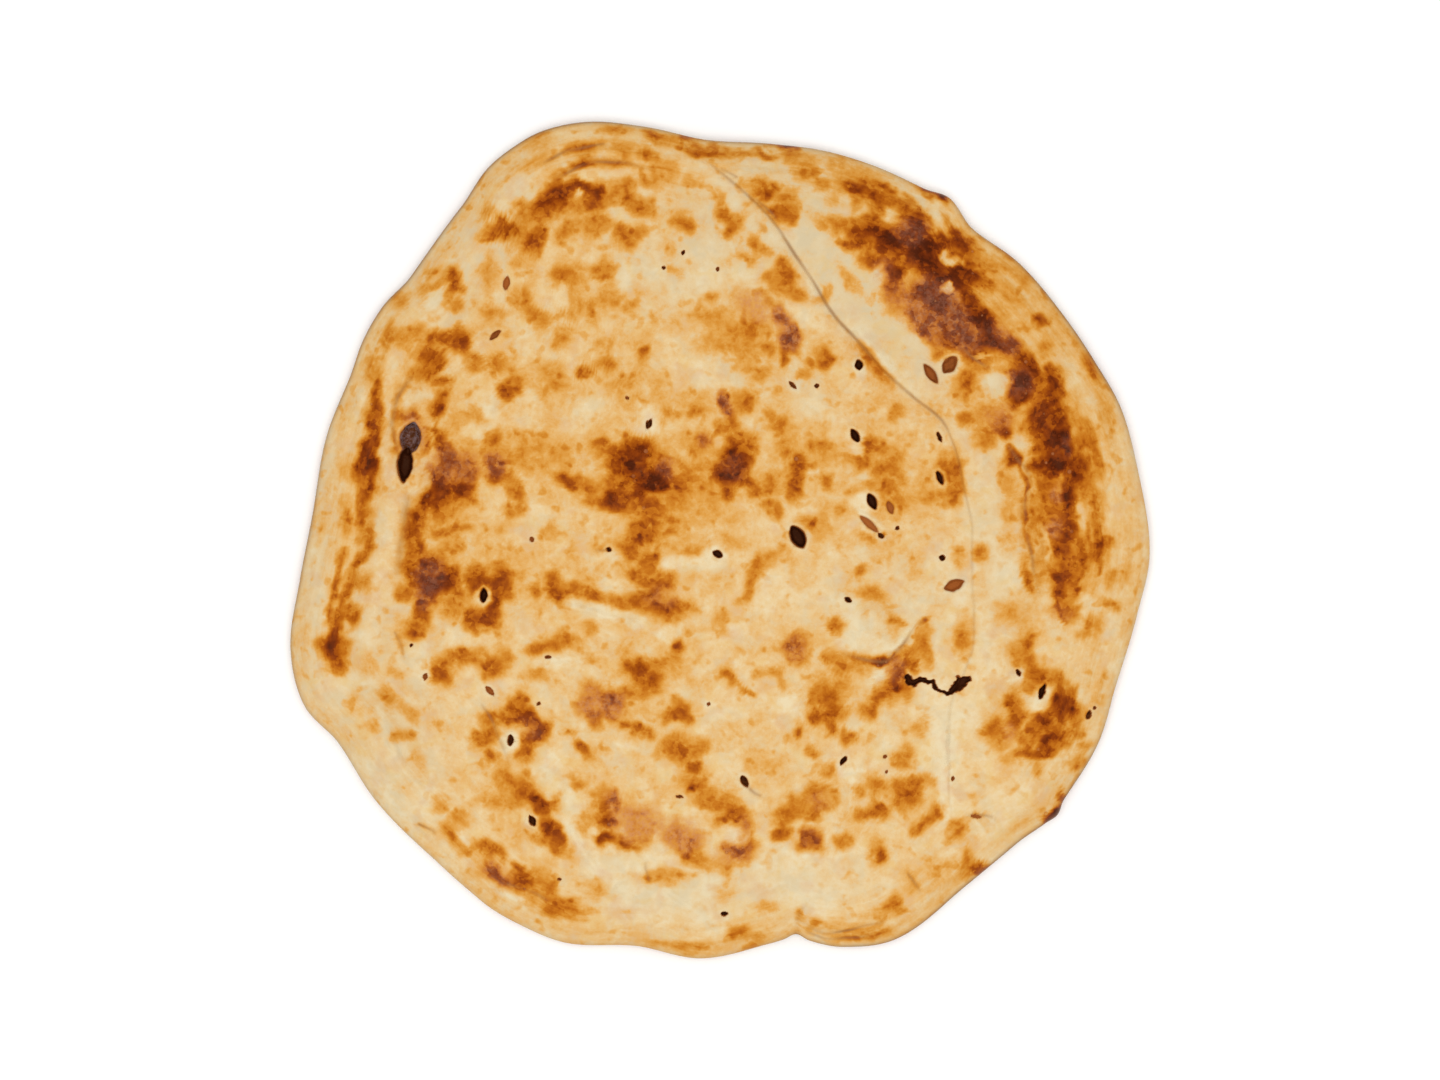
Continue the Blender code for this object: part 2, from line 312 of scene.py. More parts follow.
# The skin stretched and wrinkled as the dough was pulled. Creases are pressed lines or raised
# pleats, and along the rim the layers of skin show as fine ridges that run with the edge.
# Half width, rise, browning with painted light (above 0 a pressed crease browns and takes painted shade,
# below 0 a raised pleat pales with a painted highlight), then the line's points with its strength at each
CREASES = (
    (1.3, -0.9, 0.10, ((-113, 30, 0.4), (-114, 40, 0.9), (-112.5, 50, 1), (-107.5, 56, 0.4))),
    (2.4, -1.2, 0.00, ((-110, 16, 0.4), (-110.6, 4, 0.8), (-112.6, -12, 0.3))),
    (1, -0.7, 0.18, ((-64, 130.5, 0.4), (-53, 135.7, 1), (-41, 138.2, 0.6))),
    (1.1, -0.9, 0.26, ((-57.5, 125, 0.5), (-50.5, 130, 1), (-42, 131.2, 1), (-33, 131, 0.7),
                       (-24, 129.5, 0.3))),
    (1.2, 0.8, -0.10, ((-58, 128.5, 0.3), (-50, 133.2, 1), (-38, 134.5, 0.4))),
    (1.3, -0.9, 0.14, ((42.7, -39.4, 0.5), (50.8, -41.8, 0.9), (57.9, -41.6, 1), (64, -36.5, 1),
                       (71.4, -27.6, 0.4))),
    (1.6, 1.2, -0.30, ((68, -29.5, 0.3), (62.5, -36, 1), (57.5, -38.5, 0.4))),
    (1.5, 1.1, -0.20, ((59.5, -42.5, 0.8), (54, -49, 1), (52, -52, 0.3))),
    (1.2, -0.8, 0.20, ((100.5, 32.5, 0.7), (103.8, 27.6, 1), (107, 22, 0.8), (106.4, 6, 0.8),
                       (108.4, -6, 0.7), (110.4, -18.5, 0.3))),
    (1.8, 0.8, -0.16, ((104, 34, 0.3), (103.6, 12, 1), (103.8, -6, 0.4))),
    (1.3, 0.7, -0.12, ((113.5, 8, 0.3), (113, -2, 1), (115, -14, 0.3))),
    (2.2, 0.7, -0.14, ((79.2, -99, 0.3), (78.6, -78, 1), (80, -62, 0.4))),
    (1.2, 0.7, -0.15, ((-54, -97, 0.4), (-49.5, -106, 1), (-41, -117, 0.6), (-30, -124, 0.3))),
    (1.1, 0.6, -0.10, ((-30, -113, 0.3), (-16, -124, 1), (-4, -133, 0.3))),
    (1, -0.7, 0.10, ((29, -134, 0.3), (36, -137, 0.6), (45, -136.2, 1), (57, -132.8, 0.4))),
    (1, -0.6, 0.08, ((30, -136.5, 0.5), (40, -139.4, 0.8), (56, -138.5, 0.3))),
    (1.1, -0.9, 0.12, ((26.6, -138, 1), (27.2, -133, 0.6), (29.7, -127.8, 0.2))),
    (0.9, -0.6, 0.20, ((-114, -32, 0.6), (-111.5, -37, 1), (-110, -41.5, 0.4))),
    (1.2, 0.8, -0.12, ((-61, -22, 0.3), (-45, -25, 1), (-28, -30, 0.5))),
    (1.2, 0.7, -0.10, ((-64, -43, 0.3), (-54, -42, 1), (-44, -39, 0.3))),
    (1, -0.6, 0.06, ((-84, -57, 0.3), (-79, -64, 1), (-74, -78, 0.3))),
    (1.4, 0.9, -0.16, ((-84, -118, 0.3), (-72, -124.6, 1), (-61, -129, 0.5))),
    (1.2, -0.8, 0.14, ((-74, -120, 0.6), (-66, -122.2, 1), (-60, -126, 0.4))),
    (0.9, -0.6, 0.30, ((-104.8, -99.3, 1), (-99.6, -101.4, 0.4))),
    (1.3, 0.8, -0.10, ((-118, -60, 0.3), (-112, -76, 1), (-100, -92, 0.4))),
    (1.5, 1, -0.25, ((48, 72.5, 0.8), (56.5, 62.5, 1), (66, 52.5, 0.6))),
    (1.2, 0.7, -0.15, ((30, 84.5, 0.3), (32.8, 86, 1), (30.5, 90, 0.3))),
    (0.9, -0.7, 0.30, ((12.5, 118, 0.4), (17.5, 113.5, 0.9), (19.5, 111, 0.3))),
    (0.9, -0.6, 0.24, ((11.8, 111.4, 0.4), (15.5, 107.6, 0.8))),
    (1, -0.6, 0.10, ((0, 129.2, 0.5), (5.4, 126.2, 0.7))),
    (1, -0.5, 0.06, ((83, 68, 0.2), (88, 63, 0.9), (93, 60, 0.3))),
    (1, 0.8, -0.22, ((47, 9.8, 0.4), (52, 7.6, 1), (57.5, 3.4, 0.5))),
    (1.1, -0.6, 0.06, ((9.6, -86, 0.8), (12, -88.4, 0.8), (17, -90, 0.2))),
    (0.9, -0.5, 0.16, ((65, -116, 0.5), (67.4, -119.2, 0.9), (69.6, -122.6, 0.3))),
    (0.8, -0.5, 0.12, ((85.6, -97, 0.5), (91, -96.2, 0.9), (96, -97, 0.3))),
    (0.9, -0.6, 0.20, ((-26, -113.4, 0.4), (-25, -118.6, 0.8))),
    (0.8, -0.5, 0.16, ((-44, -4, 0.4), (-39, -3.8, 0.9))),
)
# Width and length of one ripple, rise, how far in from the rim the ripples fade out, and seed
SKIN_RIPPLES = ((2.6, 26.0, 0.42, 26.0, 81), (1.3, 14.0, 0.20, 34.0, 82))
MEAN_RADIUS = 145.0


CREASE_CURVES = [(half_width, rise, brown_and_shade, rounded(line, 3)) for half_width, rise, brown_and_shade, line in CREASES]
CREASE_WANDER = (0.8, 9.0, 71)
# How wide the browning and painted shade along a crease are, and the thin dark line of painted shade
# in it, in shares of its half width
BROWNING_AND_SHADE_WIDTH = 1.5
DARK_LINE_WIDTH = 0.5


def crease_fields(x, y):
    """The creases' height, their browning with painted shade in the pressed ones and painted highlight on
    the raised ones, and the thin dark line of painted shade at the bottom of the pressed ones.
    """
    height, browning_and_shade, shade_line = np.zeros_like(x), np.zeros_like(x), np.zeros_like(x)
    wander = unevenness(x, y, *CREASE_WANDER)
    for half_width, rise, brown_and_shade, curve in CREASE_CURVES:
        distance, _, strength = along_line(x + wander, y - wander, curve)
        height += rise * (strength * np.exp(-(distance / half_width) ** 2))
        browning_and_shade += brown_and_shade * strength * np.exp(-(distance / (BROWNING_AND_SHADE_WIDTH * half_width)) ** 2)
        if rise < 0.0:
            line_weight = strength * np.exp(-(distance / (DARK_LINE_WIDTH * half_width)) ** 2)
            shade_line = np.maximum(shade_line, np.clip(line_weight, 0.0, 1.0))
    return height, browning_and_shade, shade_line


def ripple_height(bearing, inset):
    arc = bearing * MEAN_RADIUS
    total = np.zeros_like(inset)
    for across, along, rise, reach, seed in SKIN_RIPPLES:
        fading = 1.0 - ease(0.4 * reach, reach, inset)
        total += rise * fading * lumps(inset / across, arc / along, 1.0, seed)
    return total


# Prick marks and burst blisters are open pits. Their dark insides are painted, partly the scorched
# crumb's colour and partly painted shade of the pit's depth, and most have a raised lip painted pale,
# partly paler skin and partly a painted highlight. The first ones are pointed slits that tore open.
Pit = namedtuple("Pit", "x y length width angle depth darkness")
PITS = [Pit(*sizes) for sizes in (
    (27.0, 1.0, 9.2, 4.8, -62, 4.6, 0.95),
    (-108.2, 35.4, 12.0, 6.4, 78, 3.2, 0.72),
    (-110.2, 26.4, 13.4, 4.8, 84, 4.6, 0.98),
    (52.9, 13.4, 6.2, 2.9, -65, 4.0, 1.00),
    (59.2, 11.2, 5.2, 2.3, -70, 1.4, 0.40),
    (51.8, 5.6, 9.6, 2.4, -42, 1.2, 0.32),
    (56.0, 1.4, 2.8, 1.5, -42, 2.6, 0.85),
    (46.9, 36.4, 5.4, 2.5, -60, 3.6, 1.00),
    (76.3, 35.9, 4.2, 1.2, -68, 2.6, 0.85),
    (76.6, 21.6, 5.4, 1.9, -68, 3.4, 0.95),
    (48.3, 61.0, 3.9, 2.6, -80, 3.4, 1.00),
    (73.2, 57.8, 8.6, 2.9, -54, 3.0, 0.48),
    (79.8, 60.9, 7.2, 4.2, 52, 3.2, 0.58),
    (25.2, 53.9, 4.0, 1.2, -45, 1.8, 0.75),
    (33.6, 53.7, 1.9, 1.5, 0, 1.6, 0.75),
    (81.6, -15.8, 7.8, 3.7, 22, 2.6, 0.46),
    (-1.0, -4.9, 4.2, 2.2, -28, 2.6, 1.00),
    (44.5, -20.9, 2.7, 1.5, -35, 2.4, 1.00),
    (77.4, -6.3, 2.2, 1.9, 0, 2.4, 0.95),
    (61.6, 4.2, 1.8, 1.2, 30, 1.8, 0.85),
    (-38.9, -3.4, 2.2, 1.3, -30, 1.8, 0.90),
    (-65.8, 0.2, 2.2, 1.4, -60, 1.6, 0.60),
    (-82.6, -19.4, 5.2, 2.5, 84, 4.6, 1.00),
    (-73.2, -69.9, 4.2, 1.9, 84, 3.8, 0.85),
    (-65.5, -98.0, 4.2, 2.2, -62, 3.4, 0.88),
    (8.4, -84.2, 4.8, 2.1, -62, 3.0, 0.85),
    (42.9, -77.0, 3.8, 1.6, 55, 2.8, 0.98),
    (111.7, -52.6, 5.8, 1.9, 68, 3.8, 1.00),
    (103.6, -46.2, 2.8, 1.3, -65, 2.6, 0.90),
    (128.3, -61.0, 3.4, 1.8, 70, 1.8, 0.85),
    (130.4, -58.6, 1.4, 1.2, 0, 1.2, 0.75),
    (-24.9, 40.4, 3.9, 1.9, 65, 2.8, 0.85),
    (1.4, -130.3, 2.8, 1.4, 0, 2.2, 1.00),
    (-78.6, 71.4, 5.2, 1.7, 42, 1.8, 0.60),
    (-74.7, 89.6, 5.2, 2.3, 78, 1.2, 0.42),
    (-13.0, 100.2, 1.9, 1.2, 60, 1.4, 0.85),
    (-19.8, 95.0, 1.5, 1.1, 0, 1.4, 0.85),
    (-1.0, 94.4, 1.7, 1.1, 80, 1.2, 0.70),
    (-32.4, 49.4, 1.6, 1.0, 0, 1.2, 0.70),
    (-80.5, -52.6, 4.2, 1.8, -50, 1.6, 0.52),
    (-102.9, -47.7, 2.8, 1.4, 75, 1.4, 0.62),
    (-107.8, -36.8, 1.5, 1.0, 80, 1.2, 0.85),
    (-63.5, -57.2, 1.6, 1.1, 60, 1.4, 0.75),
    (-60.1, -40.9, 2.4, 1.1, 10, 1.4, 0.70),
    (-56.2, -118.3, 1.5, 1.0, 0, 1.2, 0.70),
    (-14.3, -89.5, 3.2, 1.0, -12, 1.2, 0.75),
    (-4.1, -57.3, 1.5, 1.1, 70, 1.2, 0.60),
    (88.9, -96.3, 4.4, 1.1, -8, 0.9, 0.50),
    (53.8, -119.2, 1.3, 1.0, 0, 1.0, 0.60),
    (80.9, -83.2, 1.9, 1.1, 75, 1.2, 0.62),
    (57.4, -75.6, 1.6, 1.1, 30, 1.2, 0.60),
    (57.8, -80.8, 1.4, 1.0, 30, 1.2, 0.55),
    (93.7, -75.5, 1.2, 1.0, 0, 1.0, 0.55),
)]
PIT_WANDER = (0.22, 1.6, 91)
PIT_LIP = 0.35
# The lips' paleness is partly paler skin and partly a painted highlight
LIP_PALENESS = 0.7
# How far outside the mouth the lip's crest is, and its width
LIP_PLACE = 0.8
# The depth at which a pit has its whole lip
FULL_LIP_DEPTH = 3.0
# How far past its length a pit's lip still reaches
PIT_SURROUND = 4.0
# The tear beside the blister at the lower right, where the skin split: x, y, half width
TEAR_LINE = (
    (65.2, -48.0, 1.2), (66.8, -50.0, 1.2), (69.8, -48.8, 0.9), (73.4, -49.4, 0.9), (76.0, -52.6, 0.4),
    (79.4, -53.8, 0.7), (82.2, -51.4, 1.7), (84.6, -49.2, 2.2), (86.6, -48.6, 0.9),
)
TEAR_DEPTH = 3.0
# The tear's darkness is partly char and partly painted shade of its depth
TEAR_DARKNESS = 0.96
TEAR_RAGGEDNESS = (0.5, 1.3, 95)


def pit_share(x, y, pit):
    """Under 1 inside a pit's mouth, which is an eye shape with pointed ends."""
    _, along, across = oval(x, y, pit.x, pit.y, pit.length / 2.0, pit.width / 2.0, pit.angle)
    return along**2 + np.sqrt(across**2 + 0.04) - 0.2


def pit_fields(x, y):
    """The pits' height, their darkness inside, partly scorch and partly painted shade, and their lips'
    paleness, partly a painted highlight.
    """
    height, dark, pale = np.zeros_like(x), np.zeros_like(x), np.zeros_like(x)
    wander = unevenness(x, y, *PIT_WANDER)
    for pit in PITS:
        near = np.nonzero(np.hypot(x - pit.x, y - pit.y) < pit.length + PIT_SURROUND)[0]
        share = pit_share(x[near] + wander[near], y[near] - wander[near], pit)
        inside = 1.0 - ease(0.35, 1.15, share)
        lip = np.exp(-(((share - 1.0) * pit.width / 2.0 - LIP_PLACE) / LIP_PLACE) ** 2)
        lip_strength = min(1.0, pit.depth / FULL_LIP_DEPTH)
        height[near] += -pit.depth * inside + PIT_LIP * lip * lip_strength
        dark[near] = np.maximum(dark[near], pit.darkness * (1.0 - ease(0.70, 1.10, share)))
        pale[near] = np.maximum(pale[near], LIP_PALENESS * lip * lip_strength)
    distance, _, half_width = along_line(x + 2.0 * wander, y + 2.0 * wander, TEAR_LINE)
    ragged = distance / (half_width * (1.0 + unevenness(x, y, *TEAR_RAGGEDNESS)))
    height -= TEAR_DEPTH * (1.0 - ease(0.3, 1.2, ragged))
    dark = np.maximum(dark, TEAR_DARKNESS * (1.0 - ease(0.75, 1.2, ragged)))
    return height, dark, pale


# Browning comes where a blister stood nearest the oven's wall. Each patch is given where it lies,
# with its size and how far it baked, in hundredths: 40 is light gold, 60 orange brown, 80 brown and
# 100 charred. x, y, length, width, angle (left out where it is 0), browning
PATCHES = (
    # The far end
    (-58, 119, 11, 6, 30, 84), (-49.5, 123, 11, 3.5, -5, 78), (-45, 121, 8, 2.5, -15, 80),
    (-55, 121, 10, 4, 20, 72), (-60.5, 117.5, 6, 4.5, 40, 72), (-46, 118, 14, 4, 5, 62),
    (-64, 113.5, 6, 4, 35, 62), (-68, 114, 6, 4, 50), (-74, 108, 5, 4, 74), (-78, 106.5, 10, 5, 15, 60),
    (-69, 107, 6, 10, 50), (-71.8, 98, 5, 6, 48), (-64, 105, 4, 8, 74), (-66, 104, 6, 6, 62),
    (-55, 107, 7, 4, 35, 56), (-47, 110, 14, 5, 10, 50), (-42, 110.5, 10, 6, 50), (-54, 92.5, 10, 5, 58),
    (-53, 88, 8, 8, 40), (-41, 94, 6, 6, 58), (-38, 85, 9, 6, 20, 48), (-42, 81, 5, 4, 44),
    (-45, 79.5, 4, 6, 58), (-51, 79.5, 10, 4, 45), (-64, 78, 12, 4, -25, 50), (-70, 84, 6, 6, 48),
    (-80, 92, 5, 10, 45), (-80, 79, 6, 3, 45), (-33, 121, 6, 7, 56), (-36, 119, 6, 4, 52),
    (-27, 116, 8, 4, -35, 60), (-34, 107, 6, 4, 60, 60), (-32, 106, 5, 6, 55), (-28, 107, 5, 3, 50),
    (-13, 110, 6, 4, 58), (-10, 125, 6, 2.5, 44), (-19, 128, 8, 4, -20, 50), (-24, 126, 7, 5, 50),
    (-23, 130, 5, 5, 50), (-25, 134, 8, 4, -30, 52), (-34, 136, 8, 3.5, 50), (-22, 140, 7, 2.5, -25, 60),
    (-15, 138, 10, 2, -20, 52), (-12, 140.5, 3, 1.2, 72), (-48, 136.5, 12, 3, 10, 46),
    (-79, 113.5, 7, 1.6, 50), (-76.5, 111.5, 1.6, 4, 50), (-93, 90.5, 4.5, 7, 10, 72),
    (-97.5, 94, 7, 3, 20, 40), (-94, 84, 4, 8, 35, 52), (-6, 136, 14, 4, -15, 58),
    (-4, 135, 8, 3, -10, 60), (16, 134.5, 7, 1.5, -15, 60), (23.5, 138, 5, 2, -15, 85),
    (25, 134, 5, 6, 46), (30, 129, 8, 6, 46), (40, 131.5, 6, 4, 46), (0.5, 117, 4, 8, 15, 52),
    (2, 114, 6, 5, 62), (4.5, 110, 4, 6, -20, 58), (4, 107.5, 5, 3, 52), (14, 122.5, 10, 4, 64),
    (16, 120.5, 5, 4, 64), (22.5, 115.5, 6, 9, -10, 64), (24, 111.5, 4, 5, 60), (12, 102, 4, 3, 57),
    (14, 100.5, 7, 3, -20, 52), (21.5, 94.5, 5, 5, -30, 62), (22.5, 92.5, 6, 5, 64),
    (17.5, 91, 5, 3, -20, 50), (20, 88, 6, 3, -40, 48), (26, 86, 6, 4, -20, 58),
    (35.5, 85, 4, 5, -45, 50), (12, 80, 14, 8, -30, 44), (22, 77, 3.5, 7, 25, 62),
    (23.5, 72.5, 6, 5, -50, 80), (8, 73, 16, 5, 56), (0, 75, 10, 8, 50), (-5, 78, 12, 7, -20, 42),
    (-3, 84, 3, 3, 46), (17, 83.5, 4, 2, -30, 50), (5, 68, 24, 8, -5, 45), (15.5, 66, 3, 3, 60),
    (24.5, 68.5, 6, 5, -60, 80), (22.5, 65, 2.5, 6, -10, 60), (37, 63.5, 4, 5, 62), (37, 63, 6, 7, 42),
    (34, 61, 6, 2, 46), (-8, 45.5, 7, 2.5, 58), (-10, 50, 12, 6, 40), (45, 91, 3, 10, 35, 42),
    (44, 119, 9, 6, 54), (-100, 88.5, 9, 3, 20, 50), (-61, 130, 13, 8, 36), (8, 98, 9, 4, 34),
    (-65, 139, 10, 6, 40), (-48.5, 134.5, 8, 5, 10, 56), (9, 98, 7, 3, -20, 50), (-55.7, 115.5, 4, 4, 64),
    (-16, 93, 4, 3, 48), (-31, 80, 5, 4, 46), (14.4, 58.5, 5, 4, 50), (28.4, 57, 4, 4, 50),
    (-35.7, 142, 9, 3, 48), (34, 124, 5, 4, 48),
    # The upper right, outside the fold
    (49, 127.5, 18, 4, -15, 42), (50, 122.5, 18, 5, -8, 68), (46, 122.5, 8, 3, 78),
    (62, 118, 16, 4, -22, 56), (54, 116.5, 5, 6, 68), (48, 110, 20, 4, -3, 58),
    (54, 106.5, 22, 5, -6, 78), (48, 102.5, 9, 4, 72), (59, 103, 9, 9, 88), (67, 106, 9, 7, 90),
    (53, 98, 7, 6, -20, 64), (60, 97, 6, 5, 78), (61, 93, 6, 3, 92), (60, 89, 5, 6, 70),
    (63, 114, 4, 5, 60, 64), (69, 112, 4, 7, -50, 84), (75, 101, 16, 6, -15, 88),
    (73, 96, 14, 5, -30, 92), (80, 92, 22, 6, -12, 90), (85, 102, 9, 7, -40, 76), (85, 95.5, 8, 6, 80),
    (82, 108, 11, 2, -50, 68), (65, 97, 12, 5, -15, 58), (63, 86, 14, 11, -45, 58),
    (74, 84, 14, 8, -40, 88), (82, 75, 20, 10, -50, 80), (90, 77, 20, 5, -60, 92),
    (95, 69, 9, 6, -45, 86), (99.5, 67, 6, 5, 82), (104, 63, 9, 4, -60, 80), (108, 60, 12, 3.5, -65, 82),
    (103, 55, 8, 8, 95), (104, 49, 4, 6, -50, 84), (98, 91, 20, 14, -45, 38), (93, 96, 9, 5, 38),
    (108, 69, 9, 5, -45, 38), (112, 76.5, 3, 3, 66), (100, 101, 8, 3, -40, 60), (75, 122, 8, 4, -20, 78),
    (78, 121, 3, 2, -40, 95), (86, 56, 5, 4, 62), (86, 53, 9, 10, 46), (52, 63, 12, 3, -50, 54),
    (61, 45, 4, 4, 52), (116, 57, 5, 6, 74), (116, 50, 5, 12, 84), (113, 47, 10, 10, 74),
    (112, 42, 9, 8, 80), (117, 33, 9, 14, 92), (113, 27, 6, 6, 88), (117, 26, 11, 6, 90),
    (124, 25, 5, 10, 86), (125.5, 41, 13, 2.5, -70, 54), (130, 30, 18, 3.5, -78, 60), (113, 20, 7, 6, 66),
    (111, 12, 6, 10, 60), (121, 15, 4, 16, 84), (121, 5, 6, 13, 73), (122, -3, 9, 9, 68),
    (119, -2, 4, 8, 72), (117.5, -13, 4.5, 10, 72), (121, -11, 6, 12, 70), (119, -20, 5, 6, 74),
    (120, -24, 8, 5, 60), (127, 18, 6, 10, 54), (131, 10, 4, 12, 10, 60), (132.5, -1, 4.5, 12, 10, 62),
    (130, -5, 4, 6, 68), (126, -9, 6, 7, 54), (128, -16, 7, 6, 42), (111, 4, 4, 8, 52),
    (101, 20, 6, 12, 44), (103, 12, 6, 14, 44), (129.5, 60, 10, 3.5, -70, 62), (134, 45, 12, 3, -70, 46),
    (97, 43, 10, 9, 57), (99.5, 38, 5, 5, 68), (86, 42, 5, 3, 58), (91, -5, 4.5, 5, 58),
    (137, -24, 5, 3, 55), (99.5, -25, 5, 8, 50), (127, -32, 6, 2.5, -5, 48), (131, -29, 4, 4, 46),
    (136, -13, 4, 5, 46), (142, -12, 4, 6, 42), (71.5, 77, 20, 9, -45, 76), (114.5, 42, 12, 20, 10, 80),
    (115, 5, 8, 32, 63), (92, 67, 11, 14, -40, 74), (70, 99, 9, 11, 93), (93, 37, 9, 9, 54),
    (80, 90, 12, 5, -12, 95), (120, 74, 12, 20, 45, 40), (102, 0, 6, 8, 44), (102, 17, 4, 8, 54),
    (78.5, 104, 6, 4, 88), (77, 65, 3, 5, -45, 56), (79.5, 70.5, 6, 5, -45, 78), (110.6, 33, 5, 5, 76),
    (110, 51, 4, 5, 80), (108.5, 33, 6, 4, 58), (101.9, 28.4, 4, 5, -50, 70), (106.4, 91, 5, 5, 48),
    (113.4, 65.8, 5, 5, -45, 54), (125, 35, 4, 5, 60),
    # The left
    (-113.5, 71, 7, 6, 50, 60), (-107, 72, 8, 4, 10, 50), (-101, 65, 8, 7, 50, 70),
    (-96, 70, 12, 4, 10, 66), (-90, 69.5, 7, 5, -70, 72), (-100, 62, 8, 5, 30, 66),
    (-97.5, 62, 9, 2, 50, 78), (-103, 58.5, 8, 5, 60), (-98, 55, 4, 2, 68), (-86, 62.5, 5, 5, 66),
    (-78, 62, 5, 7, 56), (-122.5, 29, 5, 9, 83), (-128, 26, 5, 8, 42), (-130.5, 8, 2.5, 11, 55),
    (-106, 38, 3, 6, 70), (-109, 42, 6, 5, 62), (-105, 34, 3, 7, 60), (-98.5, 47, 7, 3.5, 75, 72),
    (-97, 34, 3.5, 9, 66), (-95, 28, 5, 8, 74), (-98, 19, 8, 10, 82), (-101, 13, 8, 6, 82),
    (-105, 9, 5, 5, 74), (-107, 3, 6, 10, 68), (-103.6, 34.4, 2.4, 7, 74), (-108, -3, 6, 8, 58),
    (-90, 17, 8, 5, 80), (-89, 25, 9, 9, 64), (-79, 25, 5, 10, 76), (-94, 3, 11, 3.5, 5, 62),
    (-95, 8, 14, 5, 44), (-86, 43, 5, 4, 42), (-79, 35, 5, 5, 57), (-104, -3, 2, 4, 78),
    (-74, 23, 4, 5, 58), (-71, 17, 9, 3, -72, 60), (-73.5, 11, 4, 3, 52), (-137.5, -36.5, 5, 5, 70),
    (-135, -37.5, 8, 8, 78), (-132.5, -43, 4, 4, -60, 66), (-128.4, -26, 4, 5, 64),
    (-101, -13, 9, 12, 90), (-106, -12, 5, 8, 78), (-95, -14, 8, 8, 78), (-104, -20, 5, 8, 72),
    (-108, -8, 5, 10, 66), (-104, -25, 5, 6, 70), (-107, -31, 6, 6, 62), (-93, -23, 8, 8, 66),
    (-85, -14, 7, 8, 74), (-84, -28, 9, 5, -20, 76), (-79, -20, 4, 14, 73), (-96, -5, 8, 6, 50),
    (-77, -12.5, 5, 7, 66), (-75, -18, 5, 5, 62), (-92, -40, 10, 4, 10, 56), (-97, -47, 5, 6, 72),
    (-95, -43, 9, 6, 58), (-90, -39.5, 3, 3, 68), (-84, -41, 12, 4, 60), (-80, -44, 6, 6, 66),
    (-123, -44, 5, 6, 38), (-114, -46, 3, 3, 40), (-117, -54, 8, 3, -35, 46), (-109, -60, 8, 3, -55, 44),
    (-125, -57, 8, 6, -50, 44), (-121, -64, 5, 6, 42), (-111, -68.5, 6, 3, 48), (-81, -63, 5, 5, 54),
    (-84, -70, 4, 4, 68), (-79, -75, 3, 4, 62), (-74, 52, 5, 4, 66), (-71, 55, 4, 4, 48),
    (-55, 70.5, 8, 4, 25, 50), (-58, 57, 10, 8, 44), (-48, 58, 3, 2, 66), (-45, 58, 2, 1, 50),
    (-41, 61.5, 6, 2.5, 56), (-34, 55.5, 5, 3, -10, 52), (-27, 65, 3, 3, 58), (-68, 31, 22, 10, 50),
    (-110, 33, 8, 20, 56), (-97, 12, 9, 9, 73), (-110, -19, 4, 6, 60), (-126, -14, 5, 4, 35, 60),
    (-80.5, -68, 4, 4, 64), (-69.7, 12, 4, 4, 54), (-91, -1, 4, 4, 54), (-111.7, 83.3, 5, 4, 50, 46),
    # The middle
    (-17, 44, 5, 2, 50), (-7, 34.5, 6, 4, 10, 64), (-28, 33, 8, 4, 74), (-35, 31.5, 12, 3, 66),
    (-32, 28, 12, 7, 84), (-27, 31, 5, 4, 84), (-42, 33.5, 4, 3, 62), (-37, 19, 7, 8, 60),
    (-22, 28, 5, 5, 60), (-24, 20, 10, 5, 97), (-30, 24, 10, 6, 88), (-37, 14, 8, 5, 10, 84),
    (-29, 16, 6, 5, 84), (-53, 21, 8, 3.5, -8, 64), (-46, 18, 10, 4, -25, 50), (-18, 25, 5, 6, 75),
    (-10, 20, 10, 4, 54), (-26, 10, 8, 6, 60), (-26, 3, 8, 8, 72), (-17, 7, 4, 2, 62), (-18, 2, 3, 3, 60),
    (-60, 1.5, 4, 3, 45), (10, 48, 4, 6, 60), (8, 48, 9, 7, 50), (0, 48, 2, 2, 80),
    (2, 45.5, 2, 4, 25, 74), (1.5, 49, 2, 3, 66), (3, 42, 2, 3, 62), (1, 39.5, 5, 3, -30, 60),
    (4, 39, 6, 4, 54), (20, 40.5, 8, 2.5, 10, 56), (18, 43, 2.5, 4, 50), (19.5, 38.5, 3, 4, 52),
    (23, 35, 6, 8, 44), (35, 33, 8, 3, 48), (23.5, 30, 2.5, 3, 54), (7, 34, 7, 6, 70),
    (10.5, 33, 5, 6, 58), (5, 28, 8, 7, 84), (7, 25, 5, 6, 84), (2, 23, 7, 6, 70), (5, 21, 9, 4, 80),
    (2, 17.5, 4, 5, 66), (10.5, 17.5, 5, 6, -30, 60), (17, 19, 8, 5, 54), (27, 22, 4.5, 10, -5, 68),
    (27.5, 28, 2, 3, 66), (26, 15.5, 3, 4, 52), (36.5, 21.5, 2.5, 4, 60), (17, 11.5, 6, 4, 60),
    (20, 9.5, 3, 4, 58), (30, 5, 4, 4, -40, 54), (53, 34, 4, 5, 66), (52, 31, 4, 3, 60),
    (58, 30, 10, 4, -50, 52), (56, 25, 6, 6, 52), (60, 27, 5, 9, 53), (58, 18, 4, 3, 62),
    (54, 19, 6, 3, 58), (48, 27, 12, 3, 5, 48), (47, 16, 7, 2, 20, 42), (42, 11, 4, 3, 46),
    (82, 22, 4, 14, 5, 62), (76, 14, 12, 3, 5, 50), (48.5, -11, 3, 2.5, 62), (53.5, -18.5, 7, 4, 50),
    (40.5, -30, 3.5, 2.5, 64), (40.5, -31.5, 2, 3, 60), (26, -36.5, 6, 5, 66), (25, -37.5, 4, 3, 72),
